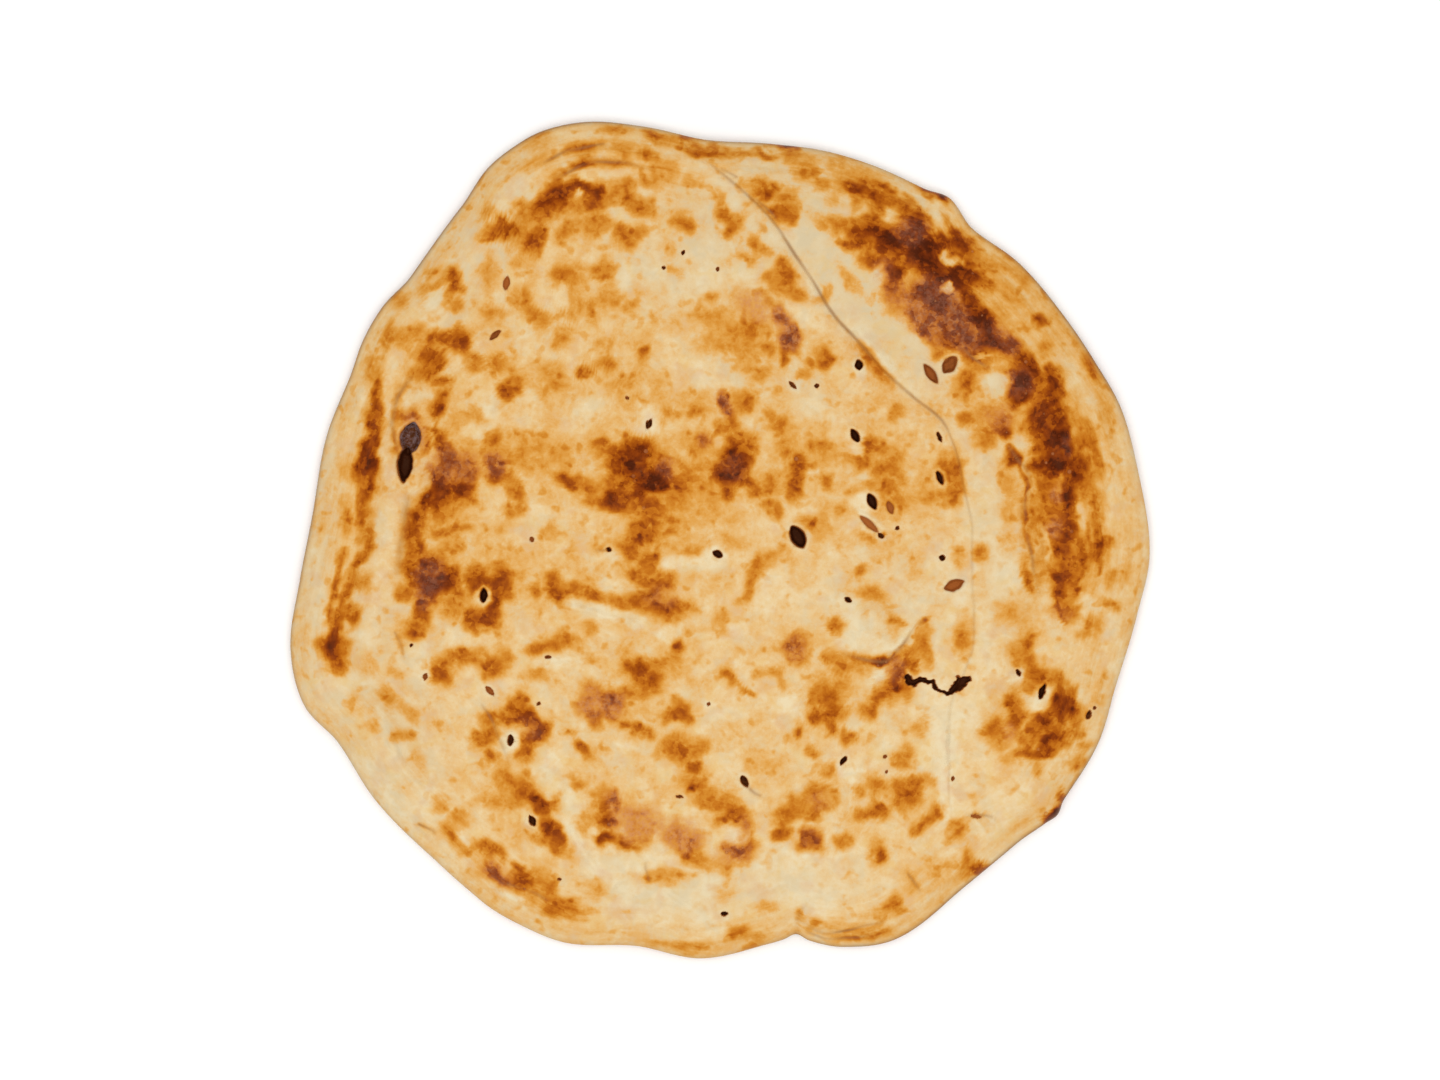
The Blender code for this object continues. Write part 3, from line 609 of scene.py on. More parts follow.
    (27, -41, 5, 5, -30, 62), (60, -28.5, 6, 2, -10, 54), (58, -33, 8, 6, 40), (0, -28, 5, 6, 42),
    (3, 0, 8, 6, 40), (-31, -4, 5, 8, 66), (-29, 1, 6, 5, 74), (-25, -8, 6, 8, 66),
    (-27, -13, 7, 3, -20, 66), (-20, -14, 6, 5, 64), (-24, -19, 8, 4, 64), (-30, -22, 6, 4, 58),
    (-17, -24, 9, 6, 68), (-24, -24, 10, 4, 56), (-11, -4, 5, 3, 54), (-58, -14, 7, 4, -40, 64),
    (-57, -19, 4, 5, 80), (-64.5, -17, 2.5, 4, 58), (-50, -18, 12, 4, -12, 60),
    (-44, -20, 8, 3.5, -10, 58), (-36, -22, 8, 3, -5, 52), (-45.5, -30.5, 3, 3, 54), (-54, -33, 2, 4, 50),
    (-56, -36, 12, 3, 8, 60), (-64, -38, 5, 3, 56), (-65, -47, 5, 3.5, 52), (-75, -41, 5, 6, 50),
    (-45, -41.5, 3, 2.5, 42), (-29, -46, 8, 7, 70), (-24, -48, 7, 5, 60), (-22, -43, 6, 3, 60),
    (-27, -53, 12, 4, 10, 54), (-33, -53, 6, 3, -10, 58), (-14, -37.5, 3, 4, 60), (-17, -42, 8, 10, 42),
    (-45, -56, 8, 10, 56), (-38, -58, 9, 9, 60), (-38, -62, 3, 2, 72), (-33, -64, 4, 1.5, 66),
    (-44, -61, 4, 6, 60), (-39, -55, 6, 3, 64), (-29, -66, 3, 3, 70), (-24.5, -66.5, 4, 3, 58),
    (-14.5, -58, 4, 4, 58), (-16, -61, 8, 4, 60), (-11, -63, 3, 3, 58), (-52.5, -66, 2.5, 2, 52),
    (-71, -57, 5, 5, 64), (-70, -61, 8, 4, -30, 76), (-74, -62, 6, 4, 62), (-66, -62, 6, 3, -50, 74),
    (-63, -66, 6, 4, -45, 80), (-67, -69, 6, 5, 76), (-48, -73, 6, 3, -30, 66), (-16, 20, 34, 24, 47),
    (-20, 5, 20, 16, 42), (60.5, 13, 12, 8, 54), (78.5, 22.5, 4, 11, 5, 68), (-11, -23.5, 5, 4, 58),
    (82.6, -7, 5, 5, 46), (-7, -72.5, 5, 4, 56), (-15, 20, 9, 12, 62), (-9.8, 31.5, 8, 4, 54),
    (-45, 14, 4, 3, 58), (-13, -25.6, 3.5, 3, 62), (-33.6, 19.3, 3, 3, 72), (-25, 12, 16, 6, 66),
    (-14.7, 24, 5, 13, 56), (-21.7, 40.6, 4, 3, 50), (52, 1.4, 4, 4, 52), (63, 22, 4, 4, 50),
    (-56.7, -90.7, 4, 4, 54), (-46.6, -109.6, 4, 4, 48),
    # The lower right
    (57, -42.5, 5, 3, 80), (61, -41.5, 4, 4, 72), (65.5, -43.5, 4, 4, 78), (62, -46.5, 3.5, 5, 80),
    (61, -51, 3.5, 4, 76), (57, -52, 6, 4, 64), (64, -52, 6, 3, -40, 60), (69, -36, 5, 8, -35, 58),
    (66, -40, 4, 4, 62), (71.5, -41, 4, 7, 48), (45, -42, 14, 3, -5, 52), (45, -45, 10, 3, 50),
    (50, -45, 8, 4, 48), (38, -40.5, 3, 3, 56), (35, -51, 6, 5, 54), (33, -55, 4, 7, 60),
    (38.5, -56, 5, 8, 68), (38, -61, 5, 4, 66), (33, -61.5, 4, 4, 62), (39, -65, 3, 3, -45, 64),
    (42, -60, 4, 5, 56), (42, -52, 4, 6, 48), (27, -67, 2, 2, 62), (27, -65.5, 4, 5, 44),
    (51.5, -60, 6, 3, 40, 57), (55, -57, 7, 5, 40, 64), (57.5, -54, 4, 4, 62), (44.5, -69, 4, 4, 62),
    (107.5, -37, 3, 6, -5, 56), (104.5, -38, 5, 6, 52), (105, -42, 8, 5, -20, 57),
    (108, -46, 6, 5, -30, 60), (111, -46, 8, 4, -20, 58), (112, -49, 5, 3, 72), (109, -50, 6, 3, 62),
    (121, -51.5, 5, 3, -40, 54), (102, -57, 5, 9, 60), (103, -61.6, 4, 5, 68), (101.5, -58, 3, 5, 68),
    (118, -57, 3, 14, 76), (122, -57, 3, 11, 10, 68), (124, -62, 3, 7, 64), (113, -63, 5, 6, 72),
    (110.5, -62, 4, 4, 66), (115.5, -66, 4, 4, 70), (113.5, -70.5, 5, 4, 80), (116.5, -68.5, 4, 4, 76),
    (113, -73.5, 8, 3, 72), (107, -73.5, 8, 2.5, 68), (106, -70, 5, 3, 58), (119, -71.5, 5, 3, 64),
    (122, -67, 5, 4, 60), (109, -66, 4, 4, 60), (102, -66, 5, 8, 54), (96, -66, 4.5, 6, 60),
    (97, -70.5, 5, 3, 52), (93, -67, 3, 6, 50), (101, -75.5, 5, 4, 48), (110, -79, 3, 5, 52),
    (128, -73, 3, 4, 50), (125, -77, 4, 3, 30, 54), (85, -33, 6, 11, 48), (84.5, -35, 4, 4, 52),
    (70.5, -65, 5, 6, 48), (63.5, -75.5, 7, 5, 62), (32.5, -74.5, 3, 3, 58), (37, -80, 4, 3, 52),
    (48, -87, 3.5, 4, 54), (54, -85.5, 5, 6, 55), (58, -87, 5, 4, 54), (66.5, -85, 9, 3.5, 10, 60),
    (72, -84.5, 3, 3, 52), (62, -87.5, 5, 4, 66), (67, -89.5, 5, 5, 72), (61, -92, 6, 3, 58),
    (54.5, -94, 4.5, 4.5, 60), (49, -95.5, 4, 3, 48), (34, -88, 6, 3.5, 58), (31.5, -89.5, 5, 4, 60),
    (35, -92, 6, 4, 60), (29, -91.5, 7, 4, 56), (24, -95, 8, 4, 58), (22, -96.5, 5, 4, 62),
    (31, -95.5, 6, 3, 52), (39.5, -90, 3, 4, 54), (21.5, -102, 5, 4, 66), (32, -104, 6, 5, 72),
    (29.5, -104.5, 2.5, 3, 80), (31, -107, 9, 2.5, -5, 60), (43, -104.5, 4, 3, 60), (75, -94.5, 3, 5, 62),
    (72.5, -97.5, 5, 2.5, 30, 56), (68.5, -100, 5, 2.5, 25, 58), (82.5, -99.5, 4, 3, 55),
    (84.5, -102, 7, 5, -30, 55), (90, -114.5, 3, 2.5, 84), (87, -112, 4, 5, 58),
    (86, -116, 6, 2.5, 45, 54), (55, -110, 3, 5, 72), (55, -110, 5, 8, 50), (61, -126, 3, 4, 55),
    (60, -129, 7, 4, 52), (15, -128, 7, 2, 48), (32, -133, 5, 5, 44), (27.5, -131.5, 2.5, 1.2, -30, 60),
    (55, -137.5, 9, 2, 15, 50), (44, -139.5, 12, 2, 42), (118, -95, 3, 2, 50, 100),
    (115.5, -97.2, 4, 0.8, 35, 90), (120, -90.5, 1.5, 5, 25, 74),
    # The near end
    (-110, -86, 5, 5, 38), (-106, -78, 6, 8, 36), (-97.5, -92.5, 4, 4, 50),
    (-94.5, -102.5, 7, 4, -45, 66), (-90, -107, 6, 3, -40, 50), (-91, -97, 4, 5, 46),
    (-82, -108, 8, 5, -20, 64), (-78, -110, 6, 4, -30, 62), (-78, -116, 9, 6, -45, 76),
    (-70.5, -114.5, 4, 1.5, -30, 68), (-69, -119, 6, 4.5, -20, 70), (-64, -118, 8, 5, -25, 52),
    (-60, -122, 6, 4.5, 54), (-58, -129, 8, 4, -20, 66), (-76, -82, 5, 6, 52), (-73, -86, 10, 6, -35, 54),
    (-72, -90, 8, 5, 56), (-78, -91, 5, 4, 52), (-68, -88, 10, 5, -35, 60), (-63, -92, 8, 3, -50, 76),
    (-63, -95, 4, 6, 68), (-59.5, -101, 7, 5, -45, 74), (-63, -104.5, 5, 3, 54),
    (-56, -105, 8, 5, -45, 66), (-69, -101, 5, 8, 42), (-67.5, -75, 4, 4, 66), (-46, -98, 6, 6, 42),
    (-49, -85, 4, 1.5, -15, 50), (-42, -88, 4, 3, 48), (-37, -92.5, 6, 2.5, -60, 72),
    (-41, -94, 5, 5, 72), (-39, -98, 5, 5, 78), (-40.5, -104.5, 5, 2, 10, 82),
    (-33, -105, 12, 4, -10, 62), (-28, -98, 15, 9, -10, 50), (-13, -103, 11, 5, -5, 56),
    (-11, -106, 8, 8, 66), (-9, -111, 8, 4, 54), (5, -109, 8, 3, -15, 76), (9, -110, 5, 5, 68),
    (11, -106, 3, 6, 60), (0, -113, 14, 4, 46), (-20, -117.5, 16, 3, 46), (-14, -73, 8, 8, 67),
    (-9, -79, 3, 2, 74), (-10, -83, 7, 5, 48), (-8, -87, 3, 2, 68), (-3, -90, 12, 4, -10, 62),
    (2, -91, 6, 4, 52), (6, -95, 6, 6, -45, 70), (8, -100, 4, 7, 54), (2, -98, 6, 3, 50),
    (-20, -73, 5, 5, 42), (-55, -128, 13, 5, -15, 66), (-66.5, -125.6, 6, 4, -20, 54),
    (-44, -122, 8, 8, 34), (2, -124, 6, 4, 36), (6.5, -137, 5, 3, 10, 60), (12, -138.5, 11, 2.5, 8, 48),
    (8, -140, 14, 3, 40), (-15, -142, 24, 3, 44),
)
# Browned bands along a ridge or a pleat: width, then the line's points with the browning at each
BROWN_BANDS = (
    (3.5, ((21, -4, 44), (16.5, -5, 50), (13, -9, 55), (11, -13, 56), (10, -18, 60), (7.5, -22, 48))),
    (2.8, ((105.5, -6, 50), (106.5, -12, 62), (109, -17.5, 60))),
    (2.4, ((1, -46, 44), (3, -50, 58), (7, -51, 52), (11, -54.5, 60))),
    (2.6, ((12, -46, 44), (17, -46.5, 52), (22, -50, 44))),
    (3.4, ((48, 68, 48), (51, 64.5, 58), (56, 58.5, 56), (60, 54, 46))),
    (2.2, ((-10, 138, 58), (-3, 136, 60), (3, 134.4, 56), (10, 133.8, 52), (18, 133.8, 50))),
    (1.5, ((43, -136, 40), (50, -136, 56), (57, -133, 50))),
    (2.0, ((47.5, 8.5, 50), (52, 5, 62), (56.5, 1.8, 78))),
    (1.6, ((40, 29.3, 46), (46, 29, 52), (52, 28, 50))),
    (1.6, ((101, 32, 50), (104, 27.5, 62), (107, 18, 54), (106, 5, 52), (108, -5, 50))),
    (1.8, ((71, -28, 50), (66, -34, 62), (60, -40, 70))),
    (4.6, ((-121, 62, 46), (-120, 51, 62), (-119.9, 43, 74), (-120.6, 35, 82), (-122.8, 26, 84),
           (-124.6, 18, 68), (-124.2, 9, 60), (-124.6, 1, 56))),
    (3.0, ((-123, -2, 58), (-126.8, -9, 66), (-130, -17, 62), (-133.6, -28, 68), (-135, -36, 76))),
    (2.0, ((-131.4, -3, 50), (-133.6, -15, 58), (-136.4, -28, 58))),
    (1.8, ((-97, 50, 62), (-99.6, 44, 68), (-98.4, 37, 60))),
    (2.2, ((120, 24, 86), (121.4, 8, 74), (120, -6, 72), (118.4, -18, 70), (119.2, -28, 62))),
    (1.8, ((126.4, 18, 62), (127.6, 3, 56), (125.6, -9, 66), (123.2, -20, 62))),
    (2.0, ((131.4, 12, 58), (132.6, -1, 66), (130.4, -12, 60))),
    (1.7, ((111.6, 4, 54), (114, -6, 64), (115.8, -16, 68), (117, -25, 62))),
)
# Round blisters that stayed pale, torn flakes and pale lips, with some painted highlights among them,
# glints on browned skin and pale lines on raised ridges, in hundredths of full paleness
PALE_SPOTS = (
    (-99.5, 83, 7, 6, 30, 85), (96, 54, 9, 9, 95), (-59, -78.5, 9, 9, 85), (-52, -91, 7, 8, 85),
    (-34, -112, 10, 6, 90), (-20, -111, 10, 6, 85), (50, -33, 17, 12, 12, 75), (109.5, -57, 6, 5, 100),
    (102.5, -47, 4, 6, 85), (79.5, 97.6, 8, 4.4, -30, 100), (79, 87.5, 3, 4.6, 100),
    (91, 64, 7, 1.6, -12, 50), (73, 115, 12, 4, -45, 70), (60, 114, 6, 4, 55), (126, 9, 4, 9, 45),
    (113, 0, 2, 12, 50), (108.5, 16, 3, 13, -5, 50), (104.5, 33, 5, 6, 50), (98, -15, 9, 16, 50),
    (92, 12, 8, 16, 45), (-48.5, 121, 4, 1.6, 80), (-42, 128, 22, 4, 60), (-35, 114, 7, 6, 60),
    (-56, 85, 6, 6, 60), (-77, 84, 5, 4, 60), (-33, 92, 6, 7, 60), (-3, 91, 8, 6, 60),
    (-108, 49, 5, 7, 60), (-86, 37, 8, 5, 55), (-80, 45, 6, 5, 60), (-105, -45, 6, 14, 50),
    (-60, -79, 8, 8, 70), (-45, 46, 14, 7, 55), (-66, 50, 5, 8, 50), (-64, 8, 8, 8, 55),
    (-25, 42, 7, 9, 80), (-13, 30, 3, 4, 40), (-51, -22, 5, 4, 70), (-40, -25, 14, 3.5, -15, 70),
    (-28, -29, 10, 3, -15, 70), (-18, -33, 8, 6, 65), (-40, -6, 9, 4, 60), (-38, -16, 10, 4, 60),
    (-14, -8, 12, 6, 75), (-58, -43, 14, 4, 5, 60), (-32, -72, 12, 3, 60), (-73.4, -70.4, 6, 7, 90),
    (-66.5, -97.5, 5, 6, -40, 70), (-82.6, -19.4, 4, 7, 50), (-51, -103, 4, 14, 40, 65),
    (-15, -94, 14, 3, -8, 65), (3, -102, 9, 5, 55), (2, -80, 10, 9, 55), (7, 94, 7, 6, 75),
    (11.5, 109, 6, 7, 70), (5, 118, 5, 6, -40, 60), (31, 77, 11, 7, -30, 65), (33, 88, 3, 7, 40, 65),
    (43, 117, 6, 8, 60), (54, 91, 4, 6, 50), (48, 57.5, 6, 6, 90), (27, 54, 3, 3, 70), (48, 32, 6, 4, 75),
    (48, 13, 5, 5, 85), (33, 24, 4, 3, 60), (45, 5, 4, 5, 50), (-3, -7, 9, 7, 85), (18, -13, 8, 9, 65),
    (16, -22, 7, 10, 60), (41, -22, 7, 4, 95), (46, -23, 6, 3, 85), (24, -57, 8, 7, 75),
    (5.5, -43.5, 3, 3, 65), (56, -46.5, 2.4, 7, -45, 45), (65, -34.5, 3, 12, -42, 70),
    (57, -60, 6, 8, 60), (60, -70, 9, 12, 50), (42, -80, 5, 3, 85), (46, -82, 8, 6, 65),
    (40, -109.5, 5, 4, 60), (33, -124, 10, 12, 55), (18, -116, 22, 10, 65), (10, -90, 8, 5, -30, 50),
    (75, -8, 8, 10, 60), (84, -21, 6, 6, 60), (78, -60, 12, 22, 45), (88, -55, 8, 14, 50),
    (78, -43, 8, 6, 55), (92, -38, 6, 16, 45), (100, -44, 8, 8, 50), (126, -20, 7, 4, 50),
    (70, -78, 8, 8, 60), (78, -90, 4, 18, 55), (52, 4.5, 3, 12, 50, 60), (57, 45, 5, 5, 50),
    (66, 70, 14, 5, -52, 50), (86, 12, 6, 10, 40), (-118, -20, 8, 26, 45), (-116, 30, 3.5, 46, 50),
    (-127, -52, 12, 14, 40), (-117, -83, 5, 8, 30, 40), (-94, -112, 14, 5, -42, 60),
    (-103, 24, 2.6, 13, 55), (-72, -124, 8, 2, -20, 80), (-76, -113, 6, 3, -30, 65),
    (-89, -104, 5, 2, -45, 70), (-45, -110, 8, 12, 30, 50), (-43.6, -101, 4, 4, 60),
    (-31.4, -43, 3, 4, 30), (-8, 57, 12, 12, 50), (0, 62, 10, 8, 45), (34, 47, 10, 6, 50),
    (-113, -91, 40, 14, -45, 60), (98, -94, 28, 12, 38, 55), (-142, -14, 7, 30, 5, 55),
    (139, -42, 8, 36, 15, 45), (-139, 30, 6, 30, -12, 40), (34, -128, 12, 6, 50), (49, -65, 6, 5, 50),
    (28, -132.5, 7, 5, 50), (28.5, 77, 4, 7, 55), (-139.5, -44, 5, 6, 50),
)
# Where the scorched skin turned purplish, in hundredths
PURPLE_SPOTS = (
    (12, 81, 14, 9, -30, 85), (22, 76, 6, 10, 25, 90), (24, 70, 9, 8, -50, 85), (66, 107, 11, 9, 75),
    (75, 84, 16, 12, -40, 100), (82, 75, 20, 11, -50, 90), (70, 77, 20, 10, -45, 90),
    (96, 71, 12, 8, -45, 50), (100, 68, 7, 6, 75), (103, 55, 9, 9, 60), (62, 86, 12, 10, 40),
    (120, 33, 3, 9, 50), (116.5, 16, 4, 8, 60), (116, 4, 5, 7, 70), (56, 93, 6, 8, 50),
    (-101, -13, 9, 12, 85), (-104, -20, 5, 8, 70), (-94.5, 26, 20, 12, 60), (-79, 26, 7, 9, 60),
    (-18, 25, 6, 7, 70), (-45, -57, 8, 11, 75), (-38, -58, 9, 9, 85), (-37, -92, 9, 6, -60, 65),
    (-28, -99, 18, 11, -10, 85), (-13, -103, 16, 10, -5, 80), (4.6, -109, 14, 8, 55),
    (-78, -116, 11, 7, -40, 60), (101, -67, 5, 6, 60), (61, -45, 6, 9, 55), (26, -38, 8, 9, 50),
    (1, 47, 5, 10, 20, 65), (-66, -66, 10, 7, -40, 35), (5, 25, 9, 9, 35), (31.2, -103.6, 9, 7, 30),
    (8, -102, 6, 10, 45), (34, -91, 8, 5, 35), (-20, -20, 12, 8, 30), (97, 43, 10, 9, 45),
    (118, -26, 8, 6, 30), (-108.2, 36.6, 12, 8, 80, 100), (-6, 35, 6, 5, 45),
)
# Where flour from the bench greys the skin, in hundredths
FLOURY_PLACES = (
    (45, 93, 96, 24, -50, 100), (2, 108, 60, 34, -15, 70), (-20, 92, 44, 30, 45),
    (-86, 100, 60, 26, 55, 55), (97, 48, 22, 40, -30, 80), (34, 128, 60, 16, -15, 70),
    (-120, -58, 44, 70, 20, 35), (-98, 85, 10, 9, 30, 80), (95, 0, 20, 60, 35), (20, 60, 40, 24, -20, 45),
    (0, -122, 90, 20, 4, 40), (60, -20, 50, 40, 30), (-142, 0, 14, 120, 45),
)
# The loaf's broad tones, from floury cream, 0, to light gold, 40
BROAD_TONES = (
    (10, 20, 130, 110, 32), (-70, 30, 70, 90, 30), (-20, 120, 90, 30, 30), (-60, -80, 110, 60, 25),
    (75, -105, 60, 40, 24), (100, 88, 50, 18, -45, 40), (42, 96, 80, 22, -50, 4),
    (5, 97, 40, 22, -40, 14), (-20, 95, 40, 22, -10, 17), (-80, 100, 60, 16, 55, 14),
    (-115, -60, 56, 56, 12), (0, -120, 90, 28, 5, 6), (92, 0, 24, 60, 12), (44, -22, 60, 30, -10, 12),
    (80, -66, 24, 50, 12), (134, -40, 22, 70, 10, 26), (8, -18, 30, 40, 18), (-5, 58, 34, 16, -15, 14),
    (30, 50, 30, 14, 24), (6, -70, 40, 30, 20), (-70, 60, 40, 16, 22),
)
RIM_TONE = 0.27
RIM_TONE_WIDTH = 9.0
RIM_TONE_SHARE = 0.8
TONE_BETWEEN = 0.24
TONE_WEIGHT = 2.0
BROAD_MOTTLE = (0.09, 22.0, 11, 4)
CLOSE_MOTTLE = (0.06, 8.0, 21, 4)
# How much larger than its size a patch spreads, and the halo round it
PATCH_SPREAD = 0.58
PATCH_HALO = 0.9
# How hard the stronger of two patches wins where they overlap
PATCH_CONTEST = 9
# The marks' edges wander by these in x and y, and the pale spots' edges by these too
WANDER_X, WANDER_Y = (1.7, 7.0, 31, 2), (1.7, 7.0, 41, 2)
CLOSE_WANDER_X, CLOSE_WANDER_Y = (1.2, 3.2, 131, 2), (1.2, 3.2, 141, 2)
# How softly the marks of each kind end, from 0, sharp, to 1
TONE_SOFTNESS = 0.7
PALE_SOFTNESS = 0.55
PURPLE_SOFTNESS = 0.5
FLOURY_SOFTNESS = 0.6
PALE_STRENGTH = 0.85


def mark_share(x, y, place, spread=0.5, halo=0.0):
    """Distance from a mark's middle, in shares of its size: its place is x, y, length, width and angle."""
    middle_x, middle_y, length, width, *turned = place
    angle = turned[0] if turned else 0.0
    return oval(x, y, middle_x, middle_y, spread * length + halo, spread * width + halo, angle)[0]


def mark_weight(share, softness):
    """1 inside a mark and 0 outside, with an edge of this softness."""
    return 1.0 - ease(1.0 - softness, 1.0 + softness, share)


def strongest(x, y, marks, softness):
    """The strongest of these marks at each place."""
    strength = np.zeros_like(x)
    for *place, amount in marks:
        weight = mark_weight(mark_share(x, y, place), softness)
        strength = np.maximum(strength, amount / 100.0 * weight)
    return strength


def browned_by(share):
    """How much of a patch's browning reaches this share of its size: most inside, then a golden halo."""
    return np.exp(-0.45 * share**3.0)


def bake_fields(x, y, inset):
    """How far each place is baked, how purple it is, and how floury."""
    tone, weights = TONE_BETWEEN * np.ones_like(x), np.ones_like(x)
    for *place, level in BROAD_TONES:
        weight = TONE_WEIGHT * mark_weight(mark_share(x, y, place), TONE_SOFTNESS)
        tone += weight * level / 100.0
        weights += weight
    tone /= weights
    tone += unevenness(x, y, *BROAD_MOTTLE) + unevenness(x, y, *CLOSE_MOTTLE)
    tone += np.exp(-(inset / RIM_TONE_WIDTH) ** 2) * (RIM_TONE - tone) * RIM_TONE_SHARE

    warp_x, warp_y = x + unevenness(x, y, *WANDER_X), y + unevenness(x, y, *WANDER_Y)
    powers = np.zeros_like(x)
    for *place, level in PATCHES:
        near = np.nonzero(np.hypot(x - place[0], y - place[1]) < 1.3 * max(place[2:4]) + 4.0)[0]
        share = mark_share(warp_x[near], warp_y[near], place, PATCH_SPREAD, PATCH_HALO)
        powers[near] += (level / 100.0 * browned_by(share)) ** PATCH_CONTEST
    for width, line in BROWN_BANDS:
        distance, _, level = along_line(warp_x, warp_y, line)
        powers += (level / 100.0 * browned_by(1.5 * distance / width)) ** PATCH_CONTEST
    browned = powers ** (1.0 / PATCH_CONTEST)
    bake = (np.clip(tone, 0.0, 1.0) ** 4 + browned**4) ** 0.25

    close_x = warp_x + unevenness(x, y, *CLOSE_WANDER_X)
    close_y = warp_y + unevenness(x, y, *CLOSE_WANDER_Y)
    bake = bake * (1.0 - PALE_STRENGTH * strongest(close_x, close_y, PALE_SPOTS, PALE_SOFTNESS))
    purple = strongest(warp_x, warp_y, PURPLE_SPOTS, PURPLE_SOFTNESS)
    floury = strongest(warp_x, warp_y, FLOURY_PLACES, FLOURY_SOFTNESS)
    return bake, purple, floury


# The loaf itself is one closed skin. A square grid is drawn out to the rim, with finer squares
# round the pits, the fold and the narrow creases, then turned under and closed by a coarser underside.
SQUARES_ACROSS = 248
PULL_REACH = 26.0
UNDERSIDE_SQUARES = SQUARES_ACROSS // 4
TOP_MARGIN = 1.8
UNDERSIDE_MARGIN = 2.0
TOP_RINGS = (1.1, 0.55, 0.18, 0.0)
TURNED_RINGS = (0.25, 0.9)
PIT_MARGIN = 1.2
FINEST_PIT = 1.2
TEAR_MARGIN = 3.4
FOLD_MARGIN = 2.2
FINEST_FOLD = 0.4
CREASE_MARGIN = 0.6
# Creases wider or fainter than these need no finer squares
WIDEST_FINE_CREASE = 1.35
FAINTEST_FINE_CREASE = 0.5
UNDERSIDE_DIMPLE = 0.5
UNDERSIDE_DIMPLES = (1.0, 14.0, 101, 4)
# How much closer together the underside's squares lie toward its rim
UNDERSIDE_CROWDING = 0.4
# The relief's layers: slow lumps, the browned skin's roughness, and how far browned skin stands up
KNEADED_LUMPS = (0.30, 11.0, 51, 4)
BROWNED_ROUGHNESS = (0.10, 3.0, 61, 4)
BROWNED_RISE = 0.9
RELIEF_STARTS = 5.0
THINNEST = 2.5
# How dark the painted shade lines in creases and under the fold's lip are, and how they fade along their
# run
CREASE_DARKNESS = 0.70
CREASE_FADING = (0.9, 8.0, 151)
FOLD_DARKNESS = 0.8
# How far the pits' lips whiten: partly paler skin, partly a painted highlight
LIP_WHITENING = 0.5
# The width of the painted shade line at the very rim
RIM_SHADE_WIDTH = 1.0
RIM_GRAIN_REACH = (36.0, 12.0)
# The underside's tone and its marks from the oven's wall
UNDERSIDE_TONE = 0.28
UNDERSIDE_MOTTLE = (0.24, 24.0, 111, 2)
UNDERSIDE_SCORCH = 0.30
SCORCH_LUMPS = (1.0, 14.0, 121)
# How dark the painted shade is in a thin line at the very rim, where the crust turns down, by bearing, in
# hundredths
RIM_SHADE_LINE = (
    (-180, 78), (-156, 40), (-120, 15), (-96, 20), (-84, 35), (-72, 75), (-48, 100), (-36, 100), (-24, 30),
    (0, 0), (12, 25), (24, 100), (36, 85), (54, 50), (72, 40), (84, 80), (96, 55), (108, 100), (144, 95),
    (168, 60), (180, 78),
)


def square_to_rim(u, v, margin):
    """Points of the square from -1 to 1, as x and y within the rim less a margin, ring for ring."""
    wide = np.abs(u) >= np.abs(v)
    ring = np.where(wide, np.abs(u), np.abs(v))
    steps = np.where(ring > 0.0, ring, 1.0)
    bearing = np.where(
        wide,
        math.pi / 4.0 * v * np.sign(u) / steps + np.where(u < 0.0, math.pi, 0.0),
        math.pi / 2.0 - math.pi / 4.0 * u * np.sign(v) / steps + np.where(v < 0.0, math.pi, 0.0),
    )
    bearing = (bearing + math.pi) % FULL_TURN - math.pi
    reach = ring * (rim_reach(bearing) - margin)
    return reach * np.cos(bearing), reach * np.sin(bearing)


def crust_height(x, y):
    """Height of the crust's main form above the table, and its bearing and inset from the rim."""
    bearing = np.arctan2(y, x)
    inset = np.maximum(0.0, rim_reach(bearing) - np.hypot(x, y))
    full = (
        CRUMB_THICKNESS + roll_height(bearing, inset) + fold_fields(x, y)[0]
        + blister_height(x, y) + wave_height(x, y)
    )
    t = 1.0 - np.minimum(1.0, inset / EDGE_ROUNDING)
    return EDGE_HEIGHT + (full - EDGE_HEIGHT) * np.sqrt(1.0 - t * t), bearing, inset


def flat_places(mesh):
    return np.array([vert.co[:2] for vert in mesh.verts])


def put_flat(mesh, x, y):
    for vert, place_x, place_y in zip(mesh.verts, x.tolist(), y.tolist()):
        vert.co = (place_x, place_y, 0.0)


def edges_near(mesh, wanted):
    """The edges inside the rim whose middle is wanted: a test of x and y."""
    places = flat_places(mesh)
    ends = np.array([(edge.verts[0].index, edge.verts[1].index) for edge in mesh.edges])
    middles = (places[ends[:, 0]] + places[ends[:, 1]]) / 2.0
    chosen = np.nonzero(wanted(middles[:, 0], middles[:, 1]))[0]
    mesh.edges.ensure_lookup_table()
    return [mesh.edges[i] for i in chosen if not mesh.edges[i].is_boundary]


def near_a_pit(x, y):
    found = np.zeros(len(x), bool)
    for pit in PITS:
        if pit.depth >= FINEST_PIT:
            found |= mark_share(x, y, pit[:5], halo=PIT_MARGIN) < 1.0
    return found | (along_line(x, y, TEAR_LINE)[0] < TEAR_MARGIN)


def near_a_line(x, y):
    """Near the fold, or in one of the narrow creases."""
    distance, _, rise = along_line(x, y, FOLD_CURVE)
    found = (distance < FOLD_MARGIN) & (rise > FINEST_FOLD)
    for half_width, _, _, curve in CREASE_CURVES:
        if half_width < WIDEST_FINE_CREASE:
            distance, _, strength = along_line(x, y, curve)
            found |= (distance < half_width + CREASE_MARGIN) & (strength > FAINTEST_FINE_CREASE)
    return found


